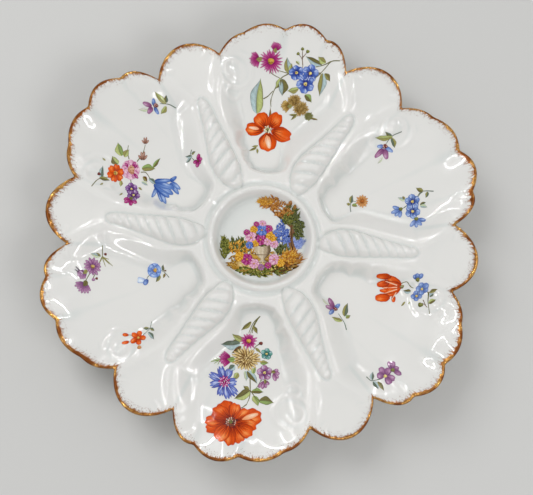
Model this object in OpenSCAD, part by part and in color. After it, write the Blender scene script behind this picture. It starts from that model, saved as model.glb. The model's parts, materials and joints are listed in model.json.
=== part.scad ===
// Oyster plate: moulded porcelain with six wells round a sauce well, six spiral shells on the dividers,
// a lobed gilt edge and scattered enamel flowers. Millimetres, +Z up, standing on its foot ring at z = 0.
// The plate's axis is the origin. The near side of the plate faces -Y.

/* [Plate] */
// Radius of the plate at its widest lobe
plate_r = 117.5; // [112:0.5:126]
// Height of the big lobes' edge above the table
rim_h = 28.6; // [26:0.2:33]
// Height of the dividers where they reach the edge
divider_rim_h = 25.6; // [23:0.2:30]
// Height of the dividers beside the centre ring
divider_root_h = 15; // [13.5:0.1:16.5]
// Thickness of the porcelain
wall_t = 3.6; // [3:0.1:4.6]
// Thickness of the porcelain at the edge
edge_t = 2.4; // [1.8:0.1:3]

/* [Centre] */
// Radius of the ring round the sauce well, at its crest
ring_r = 26.8; // [25:0.1:29]
// Height of the ring's crest above the table
ring_h = 16.4; // [15:0.1:19]
// Radius of the sauce well's flat floor
dish_r = 21.5; // [20:0.1:22.5]
// Height of the sauce well's floor above the table
dish_h = 10.4; // [9:0.1:12]
// Distance from the ring's crest out to the groove round it
ring_groove_run = 3; // [2.5:0.1:3.5]
// Height of the groove round the ring
ring_groove_h = 13.6; // [12.5:0.1:14.5]
// Distance from the ring's crest out to the dividers' roots
ring_land_run = 5.8; // [5:0.1:6.6]

/* [Wells] */
// Height of the oyster wells' floors above the table
well_h = 9.4; // [8.6:0.1:10.6]
// Radius out to which a well's floor is level
well_flat_r = 50; // [44:0.5:56]
// Distance from the middle to a well's straight inner wall
well_wall_r = 33.3; // [32.8:0.1:35]
// Width of that inner wall in plan
well_wall_run = 5.2; // [4.6:0.1:6.5]
// Unit width of a divider, which its outline follows
divider_w = 10; // [9:0.1:11]
// Depth of the ruffles along one side of each well
ruffle_depth = 1.3; // [0.4:0.1:2]
// Depth of the flutes that run in from the edge
flute_depth = 0.9; // [0.2:0.1:1.4]
// Depth of the small fans outside the shells
fan_depth = 1.7; // [0.6:0.1:2.4]

/* [Spiral shells] */
// Length of a shell from root to tip
shell_len = 52.5; // [48:0.5:55]
// Half width of a shell at its fullest
shell_half_w = 7.1; // [6.2:0.1:7.6]
// Height of a shell above its divider at its fullest
shell_rise = 4.6; // [3:0.1:5.4]
// Distance that a shell's root reaches in from the dividers' roots
shell_root_run = 3.6; // [3:0.1:4.2]
// Depth of the groove round a shell
moat_depth = 0.8; // [0.4:0.1:1.6]
// Width of the groove round a shell
moat_w = 1.8; // [1.2:0.1:2.4]

/* [Foot] */
// Radius of the foot ring
foot_r = 60; // [57:0.5:64]
// Width of the foot ring's flat face
foot_w = 2.6; // [2:0.1:3.4]
// Distance that the foot ring spreads on each side at its root
foot_flare = 1.5; // [1:0.1:2]

/* [Gilding and enamel] */
// Width of the gold band on the upper face
gilt_w = 1.7; // [1.3:0.1:2.6]
// Thickness of the gold band, drawn thick enough to hold
gilt_t = 0.12; // [0.08:0.01:0.2]
// Clearance between the gold band and the glaze
gilt_gap = 0.1; // [0.08:0.01:0.15]
// Thickness of the enamel layers, drawn thick enough to hold
enamel_t = 0.16; // [0.1:0.01:0.3]
// Clearance between the enamel and the glaze
enamel_gap = 0.4; // [0.35:0.01:0.5]
// Half width of a painted stem
stem_half_w = 0.35; // [0.25:0.05:0.6]

/* [Hidden] */

// Six equal sectors, each with one shell at its start and one big lobe in its middle
sectors = 6;
pitch_a = 360 / sectors;
first_shell_a = 54;
facets_per_sector = 25;
facets = sectors * facets_per_sector;

// The scalloped edge is the outer edge of overlapping round scallops.
// Each: angle from the shell as a share of the pitch, peak and spread as shares of the radius and pitch
scallop_shares = [
    [-0.020, 0.957, 0.142], [0.275, 0.960, 0.098], [0.402, 0.999, 0.131],
    [0.570, 0.983, 0.157], [0.680, 0.946, 0.126]];
scallop_drop_share = 0.068;
scallop_blend_share = 0.003;

// Places along a divider run from its root (0) to the plate's radius (1)
land_r = ring_r + ring_land_run;
span = plate_r - land_r;
groove_r = ring_r + ring_groove_run;

// Distance from a shell's axis to the well on each side, as shares of the divider's width
start_side_shares = [
    [-0.03, 1.50], [0.04, 1.06], [0.12, 0.98], [0.23, 0.80], [0.39, 0.48], [0.51, 0.30],
    [0.57, 0.22], [0.65, 0.52], [0.83, 1.56], [1.00, 2.60]];
end_side_shares = [
    [-0.03, 1.40], [0.02, 1.02], [0.06, 0.83], [0.16, 0.72], [0.32, 0.67], [0.49, 0.66],
    [0.58, 0.86], [0.72, 1.34], [0.83, 1.92], [1.00, 3.00]];
// Width in plan of the slope from each side down into the well, as shares of the same width
start_slope_shares = [[-0.03, 0.5], [0.09, 0.7], [0.20, 1.4], [0.32, 1.6], [1.00, 1.8]];
end_slope_shares = [[-0.03, 0.5], [0.13, 0.55], [0.28, 0.9], [0.44, 1.4], [1.00, 1.8]];
lobe_power = 1.6;

// Three ruffles along the slope on the end side, between these shares of the span
ruffles = 3;
ruffle_from_share = 0.06;
ruffle_to_share = 0.42;
ruffle_fade_share = 0.05;

// Flutes at the edge: angle and half width as shares of the pitch, depth as a share
flute_shares = [[0.492, 0.070, 1.0], [0.338, 0.055, 0.6], [0.635, 0.055, 0.6]];
flute_from_share = 0.68;
flute_run_share = 0.26;
fan_from_share = 0.49;
fan_run_share = 0.19;

// A shell: half width and centre line along its length, as shares of its length and half width
shell_root_r = land_r - shell_root_run;
moat_start_run = 3 * moat_w;
moat_fade_share = 1 / 3;
shell_width_shares = [
    [0, 0.12], [0.04, 0.45], [0.13, 0.80], [0.27, 1.00], [0.40, 0.94], [0.51, 0.82],
    [0.70, 0.60], [0.86, 0.46], [0.96, 0.34], [1, 0.10]];
shell_line_shares = [
    [0, 0], [0.13, 0.20], [0.27, 0.24], [0.40, 0.22], [0.51, 0.14],
    [0.70, 0.03], [0.86, -0.06], [1, -0.07]];
// The whorls shrink by one ratio towards an apex far past the tip
whorl_apex_share = 1.82;
whorl_least_share = 0.003;
whorl_first_share = 1.59;
whorl_ratio = 0.92;
whorl_slant = 0.5;
whorl_groove_share = 0.26;
whorl_swell = 0.8;
whorl_scallop_share = 0.07;

// Rings of the body's mesh, as shares from the dividers' roots to the edge
top_ring_shares = [
    0.04, 0.08, 0.12, 0.16, 0.20, 0.24, 0.28, 0.32, 0.36, 0.40,
    0.44, 0.48, 0.52, 0.57, 0.63, 0.70, 0.78, 0.86, 0.94];

function soft(t) = let (u = min(max(t, 0), 1)) u * u * (3 - 2 * u);
function mix(a, b, t) = a + (b - a) * t;
function wrap(a) = a - pitch_a * floor(a / pitch_a + 1 / 2);

// Smooth curve through a table of [place, value]
function cell(x, t, i = 0) = i >= len(t) - 2 || x < t[i + 1][0] ? i : cell(x, t, i + 1);
function slope_at(t, i) =
    let (a = t[max(i - 1, 0)], b = t[min(i + 1, len(t) - 1)]) (b[1] - a[1]) / (b[0] - a[0]);
function curve(x, t) =
    let (
        i = cell(x, t),
        a = t[i],
        b = t[i + 1],
        h = b[0] - a[0],
        u = min(max((x - a[0]) / h, 0), 1),
        bend = h * (slope_at(t, i) * u * (1 - u) * (1 - u) - slope_at(t, i + 1) * u * u * (1 - u))
    )
    mix(a[1], b[1], soft(u)) + bend;

// Radius of the scalloped edge at an angle: a smooth largest of the scallops
function scallop(a, s) =
    let (off = wrap(a - first_shell_a - s[0] * pitch_a) / (s[2] * pitch_a))
    plate_r * (s[1] - scallop_drop_share * off * off);
function sum(v, i = 0) = i >= len(v) ? 0 : v[i] + sum(v, i + 1);
function edge_r(a) =
    let (blend = plate_r * scallop_blend_share)
    plate_r + blend * ln(sum([for (s = scallop_shares) exp((scallop(a, s) - plate_r) / blend)]));

// Heights along a radius: the sauce well and its ring, the dividers, and the wells' floors
function hub_z(r) =
    r < dish_r ? dish_h
    : r < ring_r ? mix(dish_h, ring_h, soft((r - dish_r) / (ring_r - dish_r)))
    : r < groove_r ? mix(ring_h, ring_groove_h, soft((r - ring_r) / ring_groove_run))
    : mix(ring_groove_h, divider_root_h, soft((r - groove_r) / (land_r - groove_r)));
function divider_z(r) = mix(divider_root_h, divider_rim_h, (r - land_r) / span);
function floor_z(r) =
    let (out = max(r - well_flat_r, 0) / (plate_r - well_flat_r))
    mix(well_h, rim_h, pow(out, lobe_power));

function along(x) = (x - land_r) / span;
function side(x, table) = divider_w * curve(along(x), table);

// How far a point is inside the well, 0 on the dividers and the ring and 1 on the well's floor.
// off_a is the angle from the well's own axis
function ruffle(x) =
    let (
        s = (along(x) - ruffle_from_share) / (ruffle_to_share - ruffle_from_share),
        fade = ruffle_fade_share / (ruffle_to_share - ruffle_from_share)
    )
    ruffle_depth * (1 - abs(sin(180 * ruffles * s))) * soft(s / fade) * soft((1 - s) / fade);
function well(r, off_a) =
    let (
        xa = r * cos(off_a + pitch_a / 2),
        ya = r * sin(off_a + pitch_a / 2),
        xb = r * cos(off_a - pitch_a / 2),
        yb = r * sin(off_a - pitch_a / 2),
        end_in = soft((r * cos(off_a) - well_wall_r) / well_wall_run),
        start_in = soft((ya - side(xa, start_side_shares)) / side(xa, start_slope_shares)),
        far_in = soft((-yb - side(xb, end_side_shares) - ruffle(xb)) / side(xb, end_slope_shares))
    )
    end_in * start_in * far_in;

// Height of one spiral shell above its divider, at x along its axis and y across it
function shell_z(x, y) =
    let (
        s = (x - shell_root_r) / shell_len,
        half_w = shell_half_w * curve(s, shell_width_shares),
        off = y - shell_half_w * curve(s, shell_line_shares),
        u = off / half_w,
        turn = (x + whorl_slant * off - shell_root_r) / shell_len,
        n = ln(max(whorl_apex_share - turn, whorl_least_share) / whorl_first_share) / ln(whorl_ratio),
        swell = pow(abs(sin(180 * (n - floor(n)))), whorl_swell),
        arch = sqrt(max(1 + whorl_scallop_share * (swell - 1) - u * u, 0))
    )
    s <= 0 || s >= 1 || abs(u) >= 1 ? 0
    : shell_rise * half_w / shell_half_w * arch * (1 - whorl_groove_share * (1 - swell));
function moat_z(x, y) =
    let (
        s = (x - shell_root_r) / shell_len,
        half_w = shell_half_w * curve(s, shell_width_shares),
        off = abs(y - shell_half_w * curve(s, shell_line_shares)) - half_w
    )
    s <= 0 || s >= 1 ? 0 : moat_depth * exp(-pow(off / moat_w, 2)) * soft(s * shell_len / moat_start_run);

// Height of the fan outside a shell's tip, below the divider
function fan_z(x, y) =
    let (
        a = side(x, start_side_shares),
        b = side(x, end_side_shares),
        t = min(max((y + b) / (a + b), 0), 1)
    )
    fan_depth * 4 * t * (1 - t) * soft((along(x) - fan_from_share) / fan_run_share);

// Height of the flutes in the edge of the big lobes
function flute(a, f) =
    let (off = wrap(a - first_shell_a - f[0] * pitch_a) / (f[1] * pitch_a))
    f[2] * exp(-off * off);
function flutes_z(r, a) =
    let (in = soft((along(r) - flute_from_share) / flute_run_share))
    in == 0 ? 0 : flute_depth * in * sum([for (f = flute_shares) flute(a, f)]);

// Height of the glaze at radius r and angle a, without and with the shells
function plain_z(r, a) =
    let (off_a = wrap(a - first_shell_a - pitch_a / 2), in = r < land_r / 2 ? 0 : well(r, off_a))
    mix(r < land_r ? hub_z(r) : divider_z(r), floor_z(r), in) - flutes_z(r, a) * in;
function top_z(r, a) =
    let (
        off_a = wrap(a - first_shell_a),
        x = r * cos(off_a),
        y = r * sin(off_a),
        in = well(r, wrap(a - first_shell_a - pitch_a / 2))
    )
    r < shell_root_r / 2 ? hub_z(r)
    : plain_z(r, a) - fan_z(x, y) + shell_z(x, y) - moat_z(x, y) * (1 - soft(in / moat_fade_share));

// Height of the underside: the same wells, a wall's thickness lower and without the finer relief
function under_z(r, a) =
    let (
        in = well(max(r, land_r), wrap(a - first_shell_a - pitch_a / 2)),
        rise = soft((r - dish_r) / (land_r + ring_land_run - dish_r)),
        land = mix(dish_h, divider_z(max(r, land_r)), rise),
        x = r * cos(wrap(a - first_shell_a)),
        y = r * sin(wrap(a - first_shell_a))
    )
    mix(land, floor_z(r), in) - (r > land_r ? fan_z(x, y) : 0)
        - mix(wall_t, edge_t, soft((along(r) - flute_from_share) / (1 - flute_from_share)));

// Angles are crowded towards the shells, where the relief is finest
crowding_share = 0.30;
function facet_a(i) =
    let (u = (i % facets_per_sector) / facets_per_sector)
    first_shell_a + pitch_a * (floor(i / facets_per_sector) + u - crowding_share * sin(360 * u) / (2 * PI));
angles = [for (i = [0:facets - 1]) facet_a(i)];
function at(r, a, z) = [r * cos(a), r * sin(a), z];
function top_at(r, a) = at(r, a, top_z(r, a));
function under_at(r, a) = at(r, a, under_z(r, a));
function top_ring(radii) = [for (i = [0:facets - 1]) top_at(radii[i], angles[i])];
function under_ring(radii) = [for (i = [0:facets - 1]) under_at(radii[i], angles[i])];
function round_ring(r) = [for (a = angles) r];

// The upper face, ring by ring from the middle to just inside the edge
edge_in = edge_t / 2;
edge_radii = [for (a = angles) edge_r(a)];
function share_ring(share) = [for (r = edge_radii) mix(land_r, r - edge_in, share)];
ring_side_shares = [0, 0.4, 0.75, 1];
hub_radii = concat(
    [dish_r / 2],
    [for (s = ring_side_shares) mix(dish_r, ring_r, s)],
    [groove_r, land_r]);
top_rings = concat(
    [for (r = hub_radii) top_ring(round_ring(r))],
    [for (s = top_ring_shares) top_ring(share_ring(s))],
    [top_ring(share_ring(1))]);
lip = top_rings[len(top_rings) - 1];

// The edge, the underside and its foot ring, and on to the middle
under_ring_shares = [0.84, 0.64];
under_well_shares = [0.16, 0.08, 0.04, 0];
foot_top_out = foot_r + foot_w / 2 + foot_flare;
foot_top_in = foot_r - foot_w / 2 - foot_flare;
body_rings = concat(
    top_rings,
    [[for (i = [0:facets - 1]) at(edge_radii[i], angles[i], lip[i][2] - edge_in)],
     [for (p = lip) p - [0, 0, edge_t]]],
    [for (s = under_ring_shares) under_ring(share_ring(s))],
    [under_ring(round_ring(foot_top_out)),
     [for (a = angles) at(foot_r + foot_w / 2, a, 0)],
     [for (a = angles) at(foot_r - foot_w / 2, a, 0)],
     under_ring(round_ring(foot_top_in))],
    [for (s = under_well_shares) under_ring(round_ring(mix(land_r, plate_r, s)))],
    [under_ring(round_ring(ring_r))]);

// Height of the upper face's own facets under a point, which the enamel follows
function facet_at(a, i) = facet_a(i + 1) > a ? i : facet_at(a, i + 1);
function flat_r(p) = norm([p[0], p[1]]);
function ring_r_at(j, i, m, t) = mix(flat_r(top_rings[j][i]), flat_r(top_rings[j][m]), t);
function ring_z_at(j, i, m, t) = mix(top_rings[j][i][2], top_rings[j][m][2], t);
function ring_at(r, i, m, t, j = 0) =
    j >= len(top_rings) - 2 || r < ring_r_at(j + 1, i, m, t) ? j : ring_at(r, i, m, t, j + 1);
function glaze_z(p) =
    let (
        a = atan2(p[1], p[0]) + (atan2(p[1], p[0]) < first_shell_a ? 360 : 0),
        i = facet_at(a, facets_per_sector * floor((a - first_shell_a) / pitch_a)),
        m = (i + 1) % facets,
        t = (a - facet_a(i)) / (facet_a(i + 1) - facet_a(i)),
        r = norm(p),
        j = ring_at(r, i, m, t),
        near_r = ring_r_at(j, i, m, t),
        s = (r - near_r) / (ring_r_at(j + 1, i, m, t) - near_r)
    )
    r < hub_radii[0] ? dish_h : mix(ring_z_at(j, i, m, t), ring_z_at(j + 1, i, m, t), s);

// A closed skin over rings of points, with one pole at each end
module ring_solid(rings, first_pole, last_pole) {
    count = len(rings[0]);
    flat_points = [for (ring = rings) each ring];
    last = len(flat_points);
    polyhedron(
        points = concat(flat_points, [first_pole, last_pole]),
        faces = concat(
            [for (k = [0:count - 1]) [last, (k + 1) % count, k]],
            [for (j = [0:len(rings) - 2], k = [0:count - 1])
                let (p = j * count, q = p + count, n = (k + 1) % count)
                each [[p + k, p + n, q + n], [p + k, q + n, q + k]]],
            [for (k = [0:count - 1])
                let (p = (len(rings) - 1) * count) [p + k, p + (k + 1) % count, last + 1]]));
}

module porcelain_body() {
    color("ghostwhite")
    ring_solid(body_rings, [0, 0, dish_h], [0, 0, dish_h - wall_t]);
}

// The gold lies over the edge: four rings outside it and the same four a skin's thickness inside
function gilt_ring(lift) = [
    [for (i = [0:facets - 1]) top_at(edge_radii[i] - gilt_w, angles[i]) + [0, 0, lift]],
    [for (p = lip) p + [0, 0, lift]],
    [for (i = [0:facets - 1]) at(edge_radii[i] + lift, angles[i], lip[i][2] - edge_in)],
    [for (p = lip) p - [0, 0, edge_t + lift]]];
module gilt_edge() {
    outer = gilt_ring(gilt_gap + gilt_t);
    inner = gilt_ring(gilt_gap);
    rings = concat(outer, [for (j = [3:-1:0]) inner[j]]);
    rows = len(rings);
    color("darkgoldenrod")
    polyhedron(
        points = [for (ring = rings) each ring],
        faces = [for (j = [0:rows - 1], k = [0:facets - 1])
            let (p = j * facets, q = ((j + 1) % rows) * facets, n = (k + 1) % facets)
            each [[p + k, p + n, q + n], [p + k, q + n, q + k]]]);
}

// One patch of enamel laid over the glaze. The outline runs anticlockwise round the centre
module patch(centre, outline) {
    n = len(outline);
    flat = concat([centre], outline);
    low = [for (p = flat) [p[0], p[1], glaze_z(p) + enamel_gap]];
    high = [for (p = low) p + [0, 0, enamel_t]];
    polyhedron(
        points = concat(low, high),
        faces = concat(
            [for (k = [0:n - 1]) let (m = (k + 1) % n) [0, 1 + k, 1 + m]],
            [for (k = [0:n - 1]) let (m = (k + 1) % n) [n + 1, n + 2 + m, n + 2 + k]],
            [for (k = [0:n - 1])
                let (m = (k + 1) % n)
                each [[1 + k, n + 2 + k, n + 2 + m], [1 + k, n + 2 + m, 1 + m]]]));
}

// A blossom: [x, y, radius, petals, turn, spread, colour], places as shares of the plate's radius.
// One seen from the side spreads less than a full turn
petal_dip_share = 0.30;
side_heart_share = 1 / 3;
module blossom(b) {
    middle = plate_r * [b[0], b[1]];
    size = plate_r * b[2];
    whole = b[5] == 360;
    steps = b[3] * 4;
    ring = [for (k = [0:steps - (whole ? 1 : 0)])
        let (
            a = b[4] + (k / steps - 1 / 2) * b[5],
            r = size * (1 - petal_dip_share * (1 + cos(360 * k / 4)) / 2)
        )
        middle + r * [cos(a), sin(a)]];
    color(b[6])
    if (whole) patch(middle, ring);
    else patch(middle + side_heart_share * size * [cos(b[4]), sin(b[4])], concat([middle], ring));
}

// A leaf: [x, y at its base, x, y at its tip, half width as a share of its length]
leaf_run_shares = [[0.2, 0.7], [0.5, 1], [0.8, 0.6]];
module leaf(l) {
    base = plate_r * [l[0], l[1]];
    run = plate_r * [l[2], l[3]] - base;
    across = l[4] * [-run[1], run[0]];
    patch(base + run / 2, concat(
        [base],
        [for (s = leaf_run_shares) base + s[0] * run - s[1] * across],
        [base + run],
        [for (k = [len(leaf_run_shares) - 1:-1:0])
            let (s = leaf_run_shares[k]) base + s[0] * run + s[1] * across]));
}

// A stem: a ribbon through its points, as shares of the plate's radius, mitred where it bends
function unit(v) = v / norm(v);
function across(line, k) =
    let (
        last = len(line) - 1,
        before = unit(line[max(k, 1)] - line[max(k, 1) - 1]),
        after = unit(line[min(k, last - 1) + 1] - line[min(k, last - 1)]),
        ahead = unit(before + after)
    )
    [-ahead[1], ahead[0]] / (ahead * before);
module stem(line) {
    last = len(line) - 1;
    left = [for (k = [0:last]) plate_r * line[k] + stem_half_w * across(line, k)];
    right = [for (k = [0:last]) plate_r * line[k] - stem_half_w * across(line, k)];
    corners = [for (k = [0:last])
        let (
            l = [left[k][0], left[k][1], glaze_z(left[k]) + enamel_gap],
            r = [right[k][0], right[k][1], glaze_z(right[k]) + enamel_gap],
            up = [0, 0, enamel_t]
        )
        each [l, r, r + up, l + up]];
    polyhedron(
        points = corners,
        faces = concat(
            [[0, 3, 2], [0, 2, 1]],
            [for (k = [0:last - 1], m = [0:3])
                let (p = 4 * k + m, q = 4 * k + (m + 1) % 4)
                each [[p, q, q + 4], [p, q + 4, p + 4]]],
            [for (f = [[0, 1, 2], [0, 2, 3]]) f + 4 * last * [1, 1, 1]]));
}

module spray(blossoms, leaves, stems) {
    for (b = blossoms) blossom(b);
    color("olivedrab") for (l = leaves) leaf(l);
    color("darkolivegreen") for (s = stems) stem(s);
}

module top_bouquet() {
    spray(
        [[0.050, 0.820, 0.050, 12, 0, 360, "mediumvioletred"],
         [-0.010, 0.815, 0.040, 5, 185, 130, "orchid"], [0.075, 0.875, 0.030, 5, 80, 130, "orchid"],
         [0.165, 0.765, 0.030, 5, 20, 360, "royalblue"], [0.235, 0.775, 0.030, 5, 0, 360, "royalblue"],
         [0.210, 0.715, 0.030, 5, 40, 360, "royalblue"],
         [0.155, 0.660, 0.025, 8, 0, 360, "darkgoldenrod"],
         [0.190, 0.610, 0.030, 8, 0, 360, "darkgoldenrod"],
         [0.120, 0.625, 0.025, 4, 190, 130, "darkgoldenrod"],
         [0.230, 0.570, 0.020, 5, 0, 360, "olive"], [0.035, 0.525, 0.105, 5, 18, 360, "orangered"]],
        [[-0.005, 0.650, 0.005, 0.745, 0.22], [0.135, 0.780, 0.130, 0.835, 0.22],
         [0.080, 0.725, 0.095, 0.765, 0.2], [0.105, 0.730, 0.100, 0.675, 0.25],
         [0.285, 0.735, 0.270, 0.670, 0.25], [0.245, 0.815, 0.210, 0.835, 0.25],
         [0.300, 0.810, 0.270, 0.835, 0.25], [0.315, 0.755, 0.325, 0.720, 0.3],
         [0.175, 0.705, 0.125, 0.700, 0.22], [0.205, 0.675, 0.240, 0.645, 0.25],
         [-0.035, 0.435, -0.060, 0.420, 0.25]],
        [[[0.360, 0.800], [0.325, 0.795], [0.290, 0.740]], [[0.310, 0.795], [0.270, 0.795]],
         [[0.125, 0.765], [0.065, 0.700], [0.045, 0.635]], [[0.050, 0.690], [0.015, 0.660]],
         [[0.200, 0.800], [0.180, 0.850]]]);
}

module upper_left_bouquet() {
    spray(
        [[-0.590, 0.315, 0.050, 6, 20, 360, "palevioletred"],
         [-0.665, 0.285, 0.035, 6, 0, 360, "orangered"], [-0.590, 0.230, 0.030, 5, 0, 360, "indigo"],
         [-0.560, 0.180, 0.025, 5, 30, 360, "indigo"], [-0.585, 0.155, 0.030, 4, 265, 130, "purple"],
         [-0.485, 0.265, 0.110, 4, -10, 75, "royalblue"],
         [-0.535, 0.445, 0.030, 5, 0, 360, "rosybrown"],
         [-0.540, 0.380, 0.030, 5, 0, 360, "rosybrown"]],
        [[-0.630, 0.355, -0.645, 0.425, 0.3], [-0.605, 0.375, -0.595, 0.405, 0.25],
         [-0.645, 0.330, -0.675, 0.360, 0.3], [-0.530, 0.335, -0.455, 0.380, 0.2],
         [-0.715, 0.265, -0.720, 0.310, 0.22], [-0.700, 0.245, -0.675, 0.250, 0.25],
         [-0.635, 0.250, -0.630, 0.220, 0.3], [-0.545, 0.280, -0.510, 0.255, 0.22]],
        [[[-0.750, 0.200], [-0.715, 0.250], [-0.705, 0.260]],
         [[-0.530, 0.310], [-0.510, 0.305], [-0.490, 0.275]]]);
}

module upper_left_sprig() {
    spray(
        [[-0.495, 0.605, 0.045, 5, 0, 360, "mediumorchid"]],
        [[-0.430, 0.620, -0.480, 0.660, 0.2], [-0.420, 0.630, -0.425, 0.655, 0.25],
         [-0.430, 0.600, -0.455, 0.570, 0.22], [-0.540, 0.585, -0.560, 0.575, 0.15]],
        [[[-0.385, 0.595], [-0.425, 0.615], [-0.440, 0.610]]]);
}

module upper_left_bud() {
    spray(
        [[-0.290, 0.355, 0.025, 4, 0, 360, "mediumvioletred"]],
        [[-0.325, 0.385, -0.345, 0.395, 0.3], [-0.300, 0.390, -0.285, 0.405, 0.3],
         [-0.325, 0.370, -0.340, 0.355, 0.3]],
        [[[-0.310, 0.415], [-0.320, 0.380], [-0.315, 0.375]]]);
}

module lower_left_asters() {
    spray(
        [[-0.740, -0.135, 0.045, 12, 0, 360, "mediumorchid"],
         [-0.780, -0.170, 0.045, 5, 220, 110, "orchid"],
         [-0.765, -0.230, 0.045, 5, 235, 120, "mediumorchid"]],
        [[-0.720, -0.080, -0.755, -0.080, 0.2], [-0.695, -0.085, -0.655, -0.110, 0.15],
         [-0.685, -0.105, -0.680, -0.140, 0.15], [-0.695, -0.075, -0.675, -0.065, 0.25]],
        [[[-0.705, -0.045], [-0.705, -0.085], [-0.715, -0.095]], [[-0.745, -0.190], [-0.760, -0.215]]]);
}

module lower_left_bells() {
    spray(
        [[-0.475, -0.140, 0.035, 7, 0, 360, "cornflowerblue"],
         [-0.505, -0.180, 0.040, 3, 230, 75, "cornflowerblue"]],
        [[-0.430, -0.145, -0.435, -0.115, 0.25], [-0.435, -0.170, -0.455, -0.205, 0.22],
         [-0.410, -0.155, -0.395, -0.130, 0.22]],
        [[[-0.410, -0.175], [-0.425, -0.155], [-0.435, -0.150]]]);
}

module lower_left_berries() {
    spray(
        [[-0.540, -0.450, 0.035, 5, 0, 360, "orangered"]],
        [[-0.505, -0.405, -0.530, -0.400, 0.2], [-0.485, -0.410, -0.465, -0.420, 0.25],
         [-0.495, -0.430, -0.470, -0.465, 0.22], [-0.580, -0.440, -0.610, -0.435, 0.22],
         [-0.580, -0.470, -0.610, -0.480, 0.22], [-0.530, -0.490, -0.525, -0.515, 0.25]],
        [[[-0.490, -0.375], [-0.495, -0.410], [-0.510, -0.425]]]);
}

module bottom_bouquet() {
    spray(
        [[-0.060, -0.445, 0.035, 9, 0, 360, "mediumvioletred"],
         [-0.070, -0.540, 0.055, 12, 0, 360, "burlywood"],
         [-0.140, -0.535, 0.040, 5, 180, 120, "mediumvioletred"],
         [0.025, -0.515, 0.030, 5, 0, 360, "cadetblue"],
         [-0.155, -0.640, 0.070, 8, 0, 360, "royalblue"],
         [-0.130, -0.815, 0.100, 7, 10, 360, "orangered"],
         [0.010, -0.600, 0.030, 5, 0, 360, "mediumorchid"],
         [0.050, -0.605, 0.030, 4, -20, 120, "mediumorchid"],
         [0.010, -0.640, 0.030, 4, 255, 120, "mediumorchid"]],
        [[-0.050, -0.375, -0.095, -0.400, 0.2], [-0.035, -0.400, -0.020, -0.425, 0.2],
         [-0.100, -0.445, -0.140, -0.430, 0.2], [-0.105, -0.465, -0.180, -0.480, 0.2],
         [-0.045, -0.605, -0.025, -0.650, 0.22], [-0.070, -0.680, -0.120, -0.715, 0.22],
         [-0.030, -0.680, 0.005, -0.680, 0.22], [-0.010, -0.720, 0.045, -0.735, 0.22],
         [-0.030, -0.725, -0.025, -0.750, 0.22], [-0.190, -0.545, -0.225, -0.550, 0.15],
         [-0.005, -0.555, 0.025, -0.560, 0.25]],
        [[[-0.010, -0.345], [-0.045, -0.390], [-0.050, -0.400]],
         [[-0.060, -0.605], [-0.055, -0.660], [-0.070, -0.730]], [[-0.045, -0.680], [-0.020, -0.720]]]);
}

module lower_right_sprig() {
    spray(
        [[0.310, -0.305, 0.040, 5, 30, 360, "mediumorchid"]],
        [[0.365, -0.350, 0.380, -0.290, 0.2], [0.380, -0.345, 0.395, -0.335, 0.22],
         [0.350, -0.360, 0.315, -0.355, 0.2], [0.285, -0.280, 0.270, -0.265, 0.15]],
        [[[0.370, -0.400], [0.360, -0.355], [0.345, -0.340]]]);
}

module lower_right_tulip() {
    spray(
        [[0.590, -0.215, 0.085, 5, 170, 100, "orangered"],
         [0.680, -0.180, 0.025, 5, 0, 360, "royalblue"],
         [0.690, -0.240, 0.035, 5, 30, 360, "royalblue"],
         [0.645, -0.270, 0.025, 5, 0, 360, "cornflowerblue"]],
        [[0.650, -0.225, 0.620, -0.220, 0.25], [0.725, -0.280, 0.750, -0.245, 0.22],
         [0.735, -0.300, 0.755, -0.290, 0.25], [0.705, -0.310, 0.685, -0.305, 0.25],
         [0.625, -0.295, 0.605, -0.310, 0.2]],
        [[[0.725, -0.360], [0.720, -0.300], [0.705, -0.275]],
         [[0.645, -0.200], [0.625, -0.195], [0.605, -0.205]]]);
}

module lower_right_pinks() {
    spray(
        [[0.525, -0.615, 0.040, 5, 0, 360, "mediumorchid"],
         [0.560, -0.585, 0.035, 5, 40, 150, "mediumorchid"]],
        [[0.465, -0.630, 0.480, -0.600, 0.22], [0.465, -0.655, 0.480, -0.685, 0.22],
         [0.495, -0.660, 0.510, -0.685, 0.2]],
        [[[0.440, -0.620], [0.465, -0.640], [0.480, -0.640]]]);
}

module upper_right_sprig() {
    spray(
        [[0.555, 0.410, 0.040, 5, 0, 360, "mediumorchid"]],
        [[0.590, 0.470, 0.515, 0.465, 0.2], [0.580, 0.490, 0.560, 0.500, 0.2],
         [0.610, 0.460, 0.610, 0.410, 0.2], [0.540, 0.375, 0.530, 0.345, 0.2]],
        [[[0.640, 0.485], [0.605, 0.470], [0.580, 0.440]]]);
}

module upper_right_daisy() {
    spray(
        [[0.455, 0.180, 0.030, 8, 0, 360, "peru"]],
        [[0.410, 0.175, 0.415, 0.215, 0.22], [0.415, 0.155, 0.440, 0.145, 0.25],
         [0.395, 0.165, 0.375, 0.170, 0.25]],
        [[[0.405, 0.130], [0.405, 0.165], [0.415, 0.170]]]);
}

module upper_right_forget_me_nots() {
    spray(
        [[0.680, 0.175, 0.035, 5, 0, 360, "royalblue"], [0.675, 0.115, 0.030, 5, 30, 360, "royalblue"],
         [0.625, 0.140, 0.035, 4, 205, 110, "royalblue"],
         [0.690, 0.080, 0.035, 5, 265, 130, "cornflowerblue"]],
        [[0.720, 0.220, 0.695, 0.235, 0.22], [0.745, 0.200, 0.735, 0.170, 0.25],
         [0.710, 0.155, 0.745, 0.135, 0.22], [0.640, 0.180, 0.605, 0.200, 0.22]],
        [[[0.775, 0.205], [0.730, 0.210], [0.710, 0.195]]]);
}

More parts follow.
